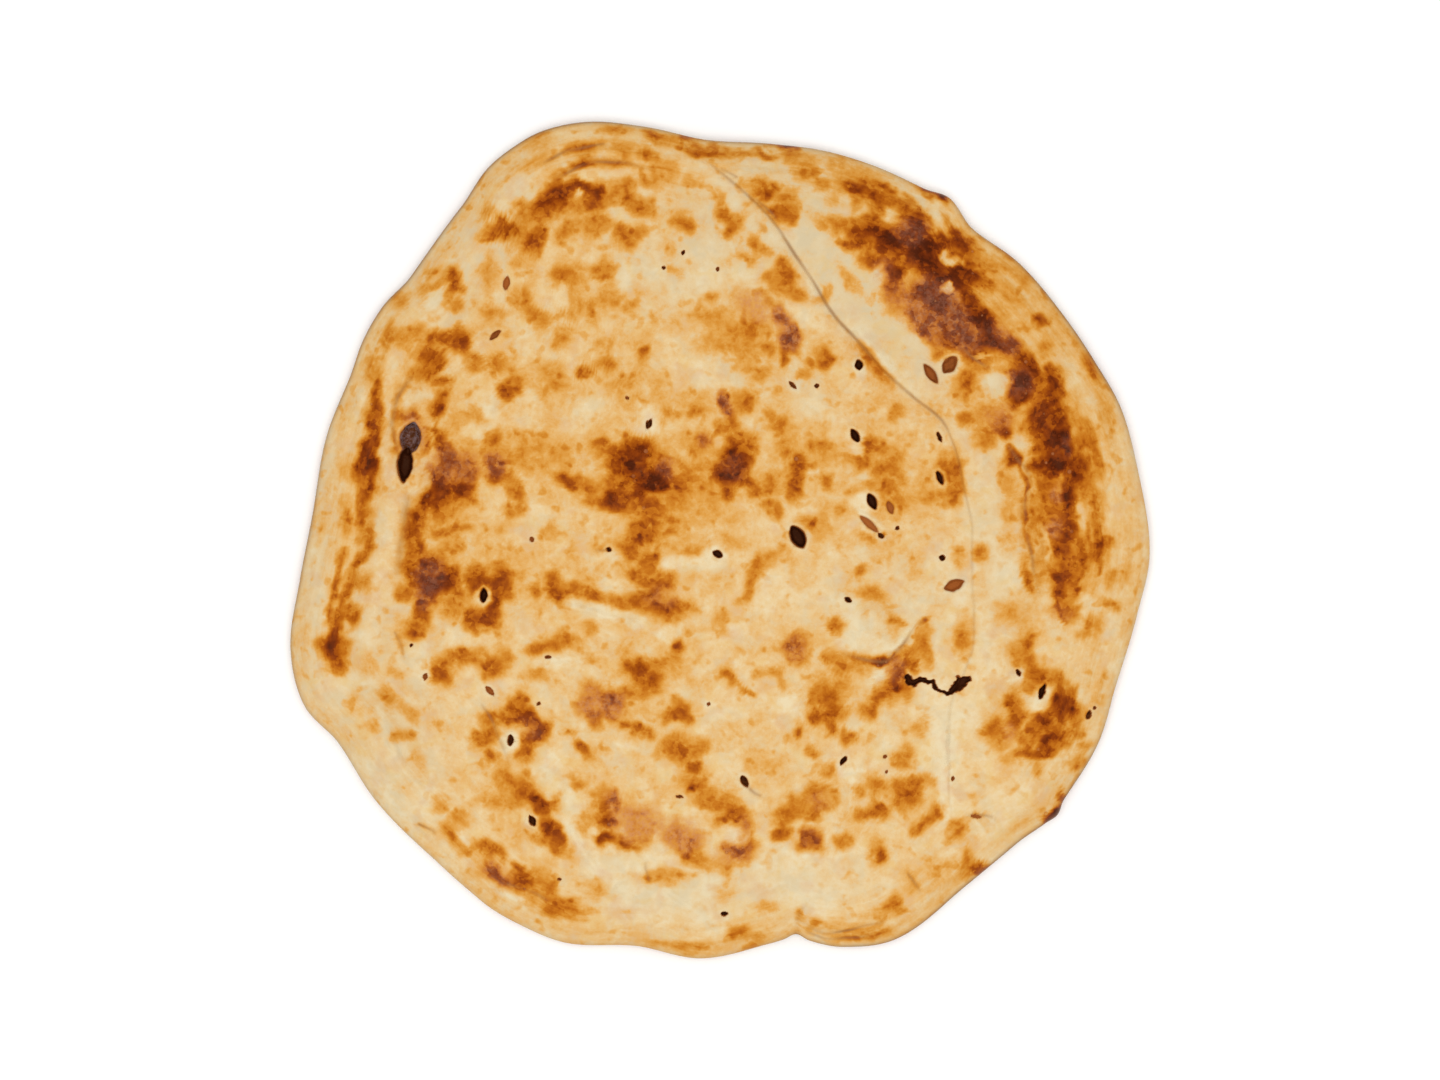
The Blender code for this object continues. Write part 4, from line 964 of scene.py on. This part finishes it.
def in_order(verts):
    """These vertices of a rim in order around the loaf, starting at bearing 0."""
    return sorted(verts, key=lambda vert: (math.atan2(vert.co.y, vert.co.x) + 1e-4) % FULL_TURN)


def next_ring(mesh, inner, margin):
    """A further ring of skin, from these vertices in order to new ones this far inside the rim."""
    outer = []
    for vert in inner:
        bearing = math.atan2(vert.co.y, vert.co.x)
        reach = float(rim_reach(np.array(bearing))) - margin
        outer.append(mesh.verts.new((reach * math.cos(bearing), reach * math.sin(bearing), 0.0)))
    for i in range(len(inner)):
        mesh.faces.new((inner[i - 1], outer[i - 1], outer[i], inner[i]))
    return outer


skin = bmesh.new()
bmesh.ops.create_grid(skin, x_segments=SQUARES_ACROSS, y_segments=SQUARES_ACROSS, size=1.0)
put_flat(skin, *square_to_rim(*np.round(flat_places(skin), 6).T, TOP_MARGIN))
skin.verts.index_update()
bmesh.ops.subdivide_edges(
    skin, edges=edges_near(skin, lambda x, y: near_a_pit(x, y) | near_a_line(x, y)), cuts=2,
    use_grid_fill=True,
)
fine_rim = in_order(vert for vert in skin.verts if vert.is_boundary)
for margin in TOP_RINGS:
    fine_rim = next_ring(skin, fine_rim, margin)
top_count = len(skin.verts)
for margin in TURNED_RINGS:
    fine_rim = next_ring(skin, fine_rim, margin)

under = bmesh.new()
bmesh.ops.create_grid(under, x_segments=UNDERSIDE_SQUARES, y_segments=UNDERSIDE_SQUARES, size=1.0)
under_u, under_v = np.round(flat_places(under), 6).T
crowd = np.maximum(np.abs(under_u), np.abs(under_v))
crowd_turn = math.pi * UNDERSIDE_CROWDING
crowded = np.sin(crowd * crowd_turn) / math.sin(crowd_turn) / np.where(crowd > 0.0, crowd, 1.0)
put_flat(under, *square_to_rim(under_u * crowded, under_v * crowded, UNDERSIDE_MARGIN))
under_data = bpy.data.meshes.new("underside")
under.to_mesh(under_data)
under.free()
skin.from_mesh(under_data)
bpy.data.meshes.remove(under_data)
coarse_rim = in_order({vert for vert in skin.verts if vert.is_boundary}.difference(fine_rim))
for i, corner in enumerate(coarse_rim):
    fine = [fine_rim[(4 * i + step) % len(fine_rim)] for step in range(5)]
    after = coarse_rim[(i + 1) % len(coarse_rim)]
    for three in (
        (corner, fine[1], fine[0]), (corner, fine[2], fine[1]), (corner, after, fine[2]),
        (after, fine[3], fine[2]), (after, fine[4], fine[3]),
    ):
        skin.faces.new(three)

x, y = flat_places(skin).T
form, bearing, inset = crust_height(x, y)
crease_height, crease_browning_and_shade, crease_shade_line = crease_fields(x, y)
# The dark lines in creases and under the fold's lip are painted shade
crease_shade_line = np.maximum(crease_shade_line, FOLD_DARKNESS * fold_fields(x, y)[1])
crease_shade_line *= np.clip(CREASE_DARKNESS + unevenness(x, y, *CREASE_FADING), 0.12, 1.0)
# The pits' darkness is partly scorch and partly painted shade, their lips' paleness partly a painted
# highlight
pit_height, pit_dark, lip_pale = pit_fields(x, y)
bake, purple, floury = bake_fields(x, y, inset)
# Pressed creases brown and raised pleats pale, partly painted shade and highlight, and the pits' lips
# whiten, partly a painted highlight
bake = np.clip(bake + crease_browning_and_shade, 0.0, 1.0) * (1.0 - LIP_WHITENING * lip_pale)
inward = ease(0.0, RELIEF_STARTS, inset)
relief = (
    crease_height + pit_height + ripple_height(bearing, inset)
    + BROWNED_RISE * ease(0.5, 1.0, bake)
    + unevenness(x, y, *KNEADED_LUMPS) + unevenness(x, y, *BROWNED_ROUGHNESS) * ease(0.3, 0.9, bake)
)
top_z = np.maximum(form + relief * inward, THINNEST)

lift = np.clip(1.0 - inset / UNDERSIDE_ROUNDING, 0.0, 1.0)
under_z = EDGE_HEIGHT * (1.0 - np.sqrt(1.0 - lift**2))
dimples = np.clip(unevenness(x, y, *UNDERSIDE_DIMPLES) + 0.35, 0.0, 1.0)
under_z += UNDERSIDE_DIMPLE * dimples * ease(0.0, 6.0, inset)
on_top = np.arange(len(x)) < top_count
z = np.where(on_top, top_z, under_z)
under_bake = (
    UNDERSIDE_TONE + unevenness(x, y, *UNDERSIDE_MOTTLE)
    + UNDERSIDE_SCORCH * ease(0.15, 0.8, unevenness(x, y, *SCORCH_LUMPS))
)
bake = np.where(on_top, bake, np.clip(under_bake, 0.05, 0.85))
# The painted shade line along the very rim, its darkness by bearing
rim_shade_line = np.interp(np.degrees(bearing), *np.array(RIM_SHADE_LINE).T) / 100.0

shift = Vector((OUTLINE_MIDDLE[0], OUTLINE_MIDDLE[1], 0.0))
for vert, place_x, place_y, place_z in zip(skin.verts, x.tolist(), y.tolist(), z.tolist()):
    vert.co = (Vector((place_x, place_y, place_z)) - shift) * MM
bmesh.ops.recalc_face_normals(skin, faces=skin.faces)
loaf_data = bpy.data.meshes.new("tamees_crust")
skin.to_mesh(loaf_data)
skin.free()
for name, values in (
    ("bake", bake), ("floury", floury), ("top", on_top * inward),
    # The pits' darkness is partly scorch and partly painted shade; the creases' dark lines are painted
    # shade
    ("purple", on_top * purple), ("pit_scorch_and_shade", on_top * pit_dark), ("crease_shade", on_top * crease_shade_line),
    ("rimward", on_top * ease(*RIM_GRAIN_REACH, inset)),
    # The painted shade line along the very rim
    ("edge", np.exp(-(inset / RIM_SHADE_WIDTH) ** 2) * rim_shade_line),
):
    attribute = loaf_data.attributes.new(name, "FLOAT", "POINT")
    attribute.data.foreach_set("value", np.asarray(values, np.float32))
pull = loaf_data.attributes.new("pull", "FLOAT_VECTOR", "POINT")
pull_place = np.column_stack([PULL_REACH * np.cos(bearing), PULL_REACH * np.sin(bearing), inset])
pull.data.foreach_set("vector", (pull_place * MM).astype(np.float32).ravel())
loaf_data.shade_smooth()

# The crust's finish is dough baked from floury cream through gold and orange brown to char. It is
# matt where pale, and satin where fat and sugar browned on the blisters.
BAKING_COLOURS = (
    (0.00, (0.78, 0.64, 0.40)),
    (0.14, (0.76, 0.54, 0.27)),
    (0.28, (0.73, 0.42, 0.14)),
    (0.38, (0.69, 0.33, 0.066)),
    (0.48, (0.62, 0.24, 0.024)),
    (0.58, (0.52, 0.155, 0.008)),
    (0.68, (0.39, 0.090, 0.003)),
    (0.79, (0.25, 0.042, 0.002)),
    (0.90, (0.14, 0.020, 0.002)),
    (1.00, (0.07, 0.010, 0.002)),
)
# The light that falls on the loaf, against the light that would show a colour just as it is
LIGHT_ON_LOAF = 1.12
CRUST_SHINE = 0.08
CRUST_GLEAM = (1.0, 0.66, 0.36, 1.0)
# A pit's lining, brown at the mouth and near black below, is partly char and partly painted shade of its
# depth
LINING_COLOUR = (0.34, 0.10, 0.020, 1.0)
PIT_CHAR_AND_SHADE_COLOUR = (0.040, 0.009, 0.003, 1.0)
PURPLE_COLOUR = (0.19, 0.066, 0.038, 1.0)
ROSE_COLOUR = (0.54, 0.24, 0.10, 1.0)
FLOUR_COLOUR = (0.56, 0.46, 0.29, 1.0)
GOLD_COLOUR = (0.66, 0.40, 0.085, 1.0)
# A blister's paler tip: partly thin skin, partly a painted glint
TIP_PALE_AND_GLINT_COLOUR = (0.38, 0.15, 0.06, 1.0)
ASH_COLOUR = (0.17, 0.13, 0.14, 1.0)
# Painted shade in the dark lines of creases and under the fold's lip
CREASE_SHADE_COLOUR = (0.30, 0.14, 0.05, 1.0)
# Painted shade in a thin line at the very rim
RIM_SHADE_COLOUR = (0.20, 0.10, 0.05, 1.0)
# The size of each grain's lumps in millimetres, then its detail, roughness and warp
EVEN_GRAIN = (7.0, 4.0, 0.60, 0.4)
PULLED_GRAIN = (3.6, 4.0, 0.55, 0.2)
FINE_GRAIN = (2.0, 3.0, 0.60, 0.0)
FLECK_GRAIN = (4.6, 2.5, 0.55, 0.0)
FRECKLE_GRAIN = (5.0, 1.5, 0.50, 0.0)
ROSE_GRAIN = (9.0, 2.0, 0.55, 0.0)
FLOUR_GRAIN = (6.4, 2.5, 0.60, 0.5)
GOLD_GRAIN = (7.6, 2.5, 0.60, 0.5)
SPECKLE_GRAIN = (1.6, 3.0, 0.70, 0.0)
# How much of each grain reaches the browning, on pale skin and on browned
MOTTLE_ON_PALE = 0.36
MOTTLE_ON_BROWN = 0.66
FINE_MOTTLE = 0.24
FLECKS_ON_PALE = 0.20
FLECK_DARK, FLECK_LIGHT = 0.075, -0.035
FRECKLE_DARK, FRECKLE_LIGHT = 0.10, -0.040
# The largest share of each colour that is laid over the browning
ROSE_SHARE = 0.30
FLOUR_SHARE = 0.38
FLOURY_PLACE_SHARE = 0.55
GOLD_SHARE = 0.25
LINE_SHARE = 0.75
ROUGH_PALE, ROUGH_BROWN = 0.62, 0.40
BUMP_STRENGTH = 0.45
BUMP_DEPTH = 0.7


class Recipe:
    """A node tree, with each node added by its type and inputs."""

    def __init__(self, tree):
        self.tree = tree

    def add(self, kind, inputs=None, **settings):
        node = self.tree.nodes.new(kind)
        for setting, value in settings.items():
            setattr(node, setting, value)
        for socket, value in (inputs or {}).items():
            self.feed(node.inputs[socket], value)
        return node

    def feed(self, socket, value):
        if isinstance(value, bpy.types.NodeSocket):
            self.tree.links.new(value, socket)
        else:
            socket.default_value = value


class Finish(Recipe):
    """A material's recipe, that ends in its one shader."""

    def __init__(self, name):
        self.material = bpy.data.materials.new(name)
        self.material.use_nodes = True
        super().__init__(self.material.node_tree)
        self.shader = self.tree.nodes["Principled BSDF"]

    def value_of(self, attribute):
        return self.add("ShaderNodeAttribute", attribute_name=attribute).outputs["Fac"]

    def work_out(self, operation, *terms):
        total = terms[0]
        for term in terms[1:]:
            total = self.add("ShaderNodeMath", {0: total, 1: term}, operation=operation).outputs[0]
        return total

    def plus(self, *terms):
        return self.work_out("ADD", *terms)

    def times(self, *terms):
        return self.work_out("MULTIPLY", *terms)

    def grain(self, place, size, detail, rough, warp):
        """Lumps of this size in millimetres, centred on 0."""
        node = self.add("ShaderNodeTexNoise", {
            "Vector": place, "Scale": 1.0 / (size * MM), "Detail": detail,
            "Roughness": rough, "Distortion": warp,
        })
        return self.work_out("SUBTRACT", node.outputs["Fac"], 0.5)

    def spread(self, value, low, high, to_low=0.0, to_high=1.0):
        """This value from low to high, drawn out with level ends to run from to_low to to_high."""
        node = self.add("ShaderNodeMapRange", {
            "Value": value, "From Min": low, "From Max": high, "To Min": to_low, "To Max": to_high,
        }, interpolation_type="SMOOTHSTEP")
        return node.outputs["Result"]

    def mix(self, share, first, second):
        """The first colour, with this share of the second over it."""
        return self.add("ShaderNodeMix", {0: share, 6: first, 7: second}, data_type="RGBA").outputs[2]


crust = Finish("baked_crust")
place = crust.add("ShaderNodeTexCoord").outputs["Object"]
baked = crust.value_of("bake")
# The pits' darkness: partly scorch, partly painted shade
pit_scorch_and_shade = crust.value_of("pit_scorch_and_shade")
purpled = crust.value_of("purple")
pulled = crust.add("ShaderNodeAttribute", attribute_name="pull").outputs["Vector"]
rimward = crust.value_of("rimward")
even_grain = crust.times(crust.grain(place, *EVEN_GRAIN), crust.spread(rimward, 0.0, 1.0, 1.0, 0.45))
pulled_grain = crust.times(crust.grain(pulled, *PULLED_GRAIN), crust.spread(rimward, 0.0, 1.0, 0.0, 0.95))
coarse = crust.plus(even_grain, pulled_grain)
fine = crust.grain(place, *FINE_GRAIN)
flecks = crust.times(
    crust.spread(crust.grain(place, *FLECK_GRAIN), 0.0, 0.035, FLECK_DARK, FLECK_LIGHT),
    crust.spread(baked, 0.40, 0.75, FLECKS_ON_PALE, 1.0),
)
freckles = crust.spread(crust.grain(place, *FRECKLE_GRAIN), 0.08, 0.22, FRECKLE_LIGHT, FRECKLE_DARK)
mottle_room = crust.spread(baked, 0.05, 0.5, MOTTLE_ON_PALE, MOTTLE_ON_BROWN)
level = crust.plus(
    baked, crust.times(coarse, mottle_room), crust.times(fine, FINE_MOTTLE), flecks, freckles
)
ramp = crust.add("ShaderNodeValToRGB", {"Fac": level})
ramp.color_ramp.interpolation = "LINEAR"
while len(ramp.color_ramp.elements) < len(BAKING_COLOURS):
    ramp.color_ramp.elements.new(1.0)
for element, (stop, colour) in zip(ramp.color_ramp.elements, BAKING_COLOURS):
    element.position = stop
    element.color = (*(channel / LIGHT_ON_LOAF for channel in colour), 1.0)
ramped = ramp.outputs["Color"]

# On pale skin the colour varies with rose, flour and gold
rosy = crust.spread(crust.grain(place, *ROSE_GRAIN), 0.02, 0.22, 0.0, ROSE_SHARE)
dusting = crust.spread(crust.grain(place, *FLOUR_GRAIN), -0.05, 0.20, 0.0, FLOUR_SHARE)
floured = crust.plus(dusting, crust.times(crust.value_of("floury"), FLOURY_PLACE_SHARE))
golden = crust.spread(crust.grain(place, *GOLD_GRAIN), 0.02, 0.20, 0.0, GOLD_SHARE)
varied = crust.mix(rosy, ramped, ROSE_COLOUR)
varied = crust.mix(golden, crust.mix(floured, varied, FLOUR_COLOUR), GOLD_COLOUR)
toned = crust.mix(crust.spread(level, 0.35, 0.15), ramped, varied)

# Scorched skin is speckled with purple. The blisters' tips have a paler colour, partly thin skin and partly
# a painted glint, and the rim and the creases have painted shade lines of their own
speckled = crust.spread(crust.grain(place, *SPECKLE_GRAIN), -0.12, 0.16)
purple_share = crust.times(purpled, crust.spread(speckled, 0.0, 1.0, 0.25, 0.80))
purple_tone = crust.mix(crust.spread(level, 0.50, 0.85), ROSE_COLOUR, PURPLE_COLOUR)
covered = crust.mix(purple_share, toned, purple_tone)
for attribute, colour in (("tip_pale_and_glint", TIP_PALE_AND_GLINT_COLOUR), ("edge", RIM_SHADE_COLOUR), ("crease_shade", CREASE_SHADE_COLOUR)):
    covered = crust.mix(crust.times(crust.value_of(attribute), LINE_SHARE), covered, colour)

# Inside a pit the lining is brown at the mouth and near black below, partly char and partly painted
# shade of its depth, and ashy where the skin is purple
lining_grain = crust.plus(pit_scorch_and_shade, crust.times(fine, 0.5))
lining = crust.mix(crust.spread(lining_grain, 0.45, 0.95), LINING_COLOUR, PIT_CHAR_AND_SHADE_COLOUR)
ashy = crust.mix(speckled, PIT_CHAR_AND_SHADE_COLOUR, ASH_COLOUR)
lining = crust.mix(crust.times(purpled, crust.spread(pit_scorch_and_shade, 0.85, 0.65)), lining, ashy)
crust.feed(crust.shader.inputs["Base Color"], crust.mix(crust.spread(pit_scorch_and_shade, 0.05, 0.35), covered, lining))
crust.feed(crust.shader.inputs["Roughness"], crust.spread(level, 0.25, 0.85, ROUGH_PALE, ROUGH_BROWN))
crust.shader.inputs["Specular IOR Level"].default_value = CRUST_SHINE
crust.shader.inputs["Specular Tint"].default_value = CRUST_GLEAM
bumps = crust.plus(coarse, crust.times(fine, 0.5), crust.times(level, 0.6))
bump = crust.add("ShaderNodeBump", {
    "Strength": BUMP_STRENGTH, "Distance": BUMP_DEPTH * MM, "Height": bumps,
})
crust.feed(crust.shader.inputs["Normal"], bump.outputs["Normal"])
loaf_data.materials.append(crust.material)

loaf = bpy.data.objects.new("tamees_crust", loaf_data)
bpy.context.scene.collection.objects.link(loaf)
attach(loaf, "root")
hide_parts("tamees_loaf")

# Where the crust scorched, its skin is thick with blisters about a millimetre across. They are the
# same dough, puffed thin by steam, and stand on the browned places alone.
BLISTER_SIZES = {
    "Width": 1.7 * MM, "Rise": 0.55, "Least Gap": 1.5 * MM, "Blisters Per Square Metre": 90000.0,
    "Browned From": 0.62, "Browned Fully": 0.95,
}
BLISTER_SEED = 5
# The smallest and largest blister, in shares of the full width
SIZE_SPREAD = (0.35, 1.0)
# The paleness of a blister's tip, partly thin skin and partly a painted glint, is drawn from this range,
# and below 0 it has none
TIP_PALENESS_AND_GLINT = (-1.6, 0.7)

growth = bpy.data.node_groups.new("small_blisters", "GeometryNodeTree")
growth.interface.new_socket("Crust", in_out="INPUT", socket_type="NodeSocketGeometry")
for name in BLISTER_SIZES:
    growth.interface.new_socket(name, in_out="INPUT", socket_type="NodeSocketFloat")
growth.interface.new_socket("Blisters", in_out="OUTPUT", socket_type="NodeSocketGeometry")
blistering = Recipe(growth)
given = blistering.add("NodeGroupInput").outputs

# Blisters are strewn over the top alone, closer where it is browner
browned, topside = (
    blistering.add("GeometryNodeInputNamedAttribute", {"Name": name}, data_type="FLOAT").outputs[0]
    for name in ("bake", "top")
)
crowding = blistering.add("ShaderNodeMapRange", {
    "Value": browned, "From Min": given["Browned From"], "From Max": given["Browned Fully"],
})
crowding_on_top = blistering.add(
    "ShaderNodeMath", {0: crowding.outputs["Result"], 1: topside}, operation="MULTIPLY"
)
strewn = blistering.add("GeometryNodeDistributePointsOnFaces", {
    "Mesh": given["Crust"], "Distance Min": given["Least Gap"],
    "Density Max": given["Blisters Per Square Metre"], "Density Factor": crowding_on_top.outputs[0],
    "Seed": BLISTER_SEED,
}, distribute_method="POISSON")

# Each is a flattened bubble of its own size, a few with a paler tip, partly thin skin and partly a painted
# glint
half_width = blistering.add("ShaderNodeMath", {0: given["Width"], 1: 0.5}, operation="MULTIPLY")
ball = blistering.add("GeometryNodeMeshIcoSphere", {"Radius": half_width.outputs[0], "Subdivisions": 2})
flattening = blistering.add("ShaderNodeCombineXYZ", {"X": 1.0, "Y": 1.0, "Z": given["Rise"]})
bubble = blistering.add("GeometryNodeTransform", {
    "Geometry": ball.outputs["Mesh"], "Scale": flattening.outputs[0],
})
sizes, chance = (
    blistering.add("FunctionNodeRandomValue", {2: low, 3: high, "Seed": seed}, data_type="FLOAT").outputs[1]
    for (low, high), seed in ((SIZE_SPREAD, BLISTER_SEED), (TIP_PALENESS_AND_GLINT, BLISTER_SEED + 1))
)
placed = blistering.add("GeometryNodeInstanceOnPoints", {
    "Points": strewn.outputs["Points"], "Instance": bubble.outputs["Geometry"],
    "Rotation": strewn.outputs["Rotation"], "Scale": sizes,
})
# The tip's paleness is partly thin skin and partly a painted glint
pale_and_glint_share = blistering.add("ShaderNodeClamp", {"Value": chance})
pale_and_glint_tips = blistering.add("GeometryNodeStoreNamedAttribute", {
    "Geometry": placed.outputs["Instances"], "Name": "tip_pale_and_glint", "Value": pale_and_glint_share.outputs[0],
}, data_type="FLOAT", domain="INSTANCE")
real = blistering.add("GeometryNodeRealizeInstances", {"Geometry": pale_and_glint_tips.outputs["Geometry"]})
smooth = blistering.add("GeometryNodeSetShadeSmooth", {"Geometry": real.outputs["Geometry"]})
finished = blistering.add("GeometryNodeSetMaterial", {
    "Geometry": smooth.outputs["Geometry"], "Material": crust.material,
})
blistering.add("NodeGroupOutput", {"Blisters": finished.outputs["Geometry"]})

blisters = bpy.data.objects.new("small_blisters", loaf_data.copy())
bpy.context.scene.collection.objects.link(blisters)
blistered = blisters.modifiers.new("small_blisters", "NODES")
blistered.node_group = growth
for socket in growth.interface.items_tree:
    if socket.name in BLISTER_SIZES:
        blistered[socket.identifier] = BLISTER_SIZES[socket.name]
grown = blisters.evaluated_get(bpy.context.evaluated_depsgraph_get())
blister_mesh = bpy.data.meshes.new_from_object(grown)
blisters.modifiers.remove(blistered)
blisters.data = blister_mesh
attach(blisters, "root")
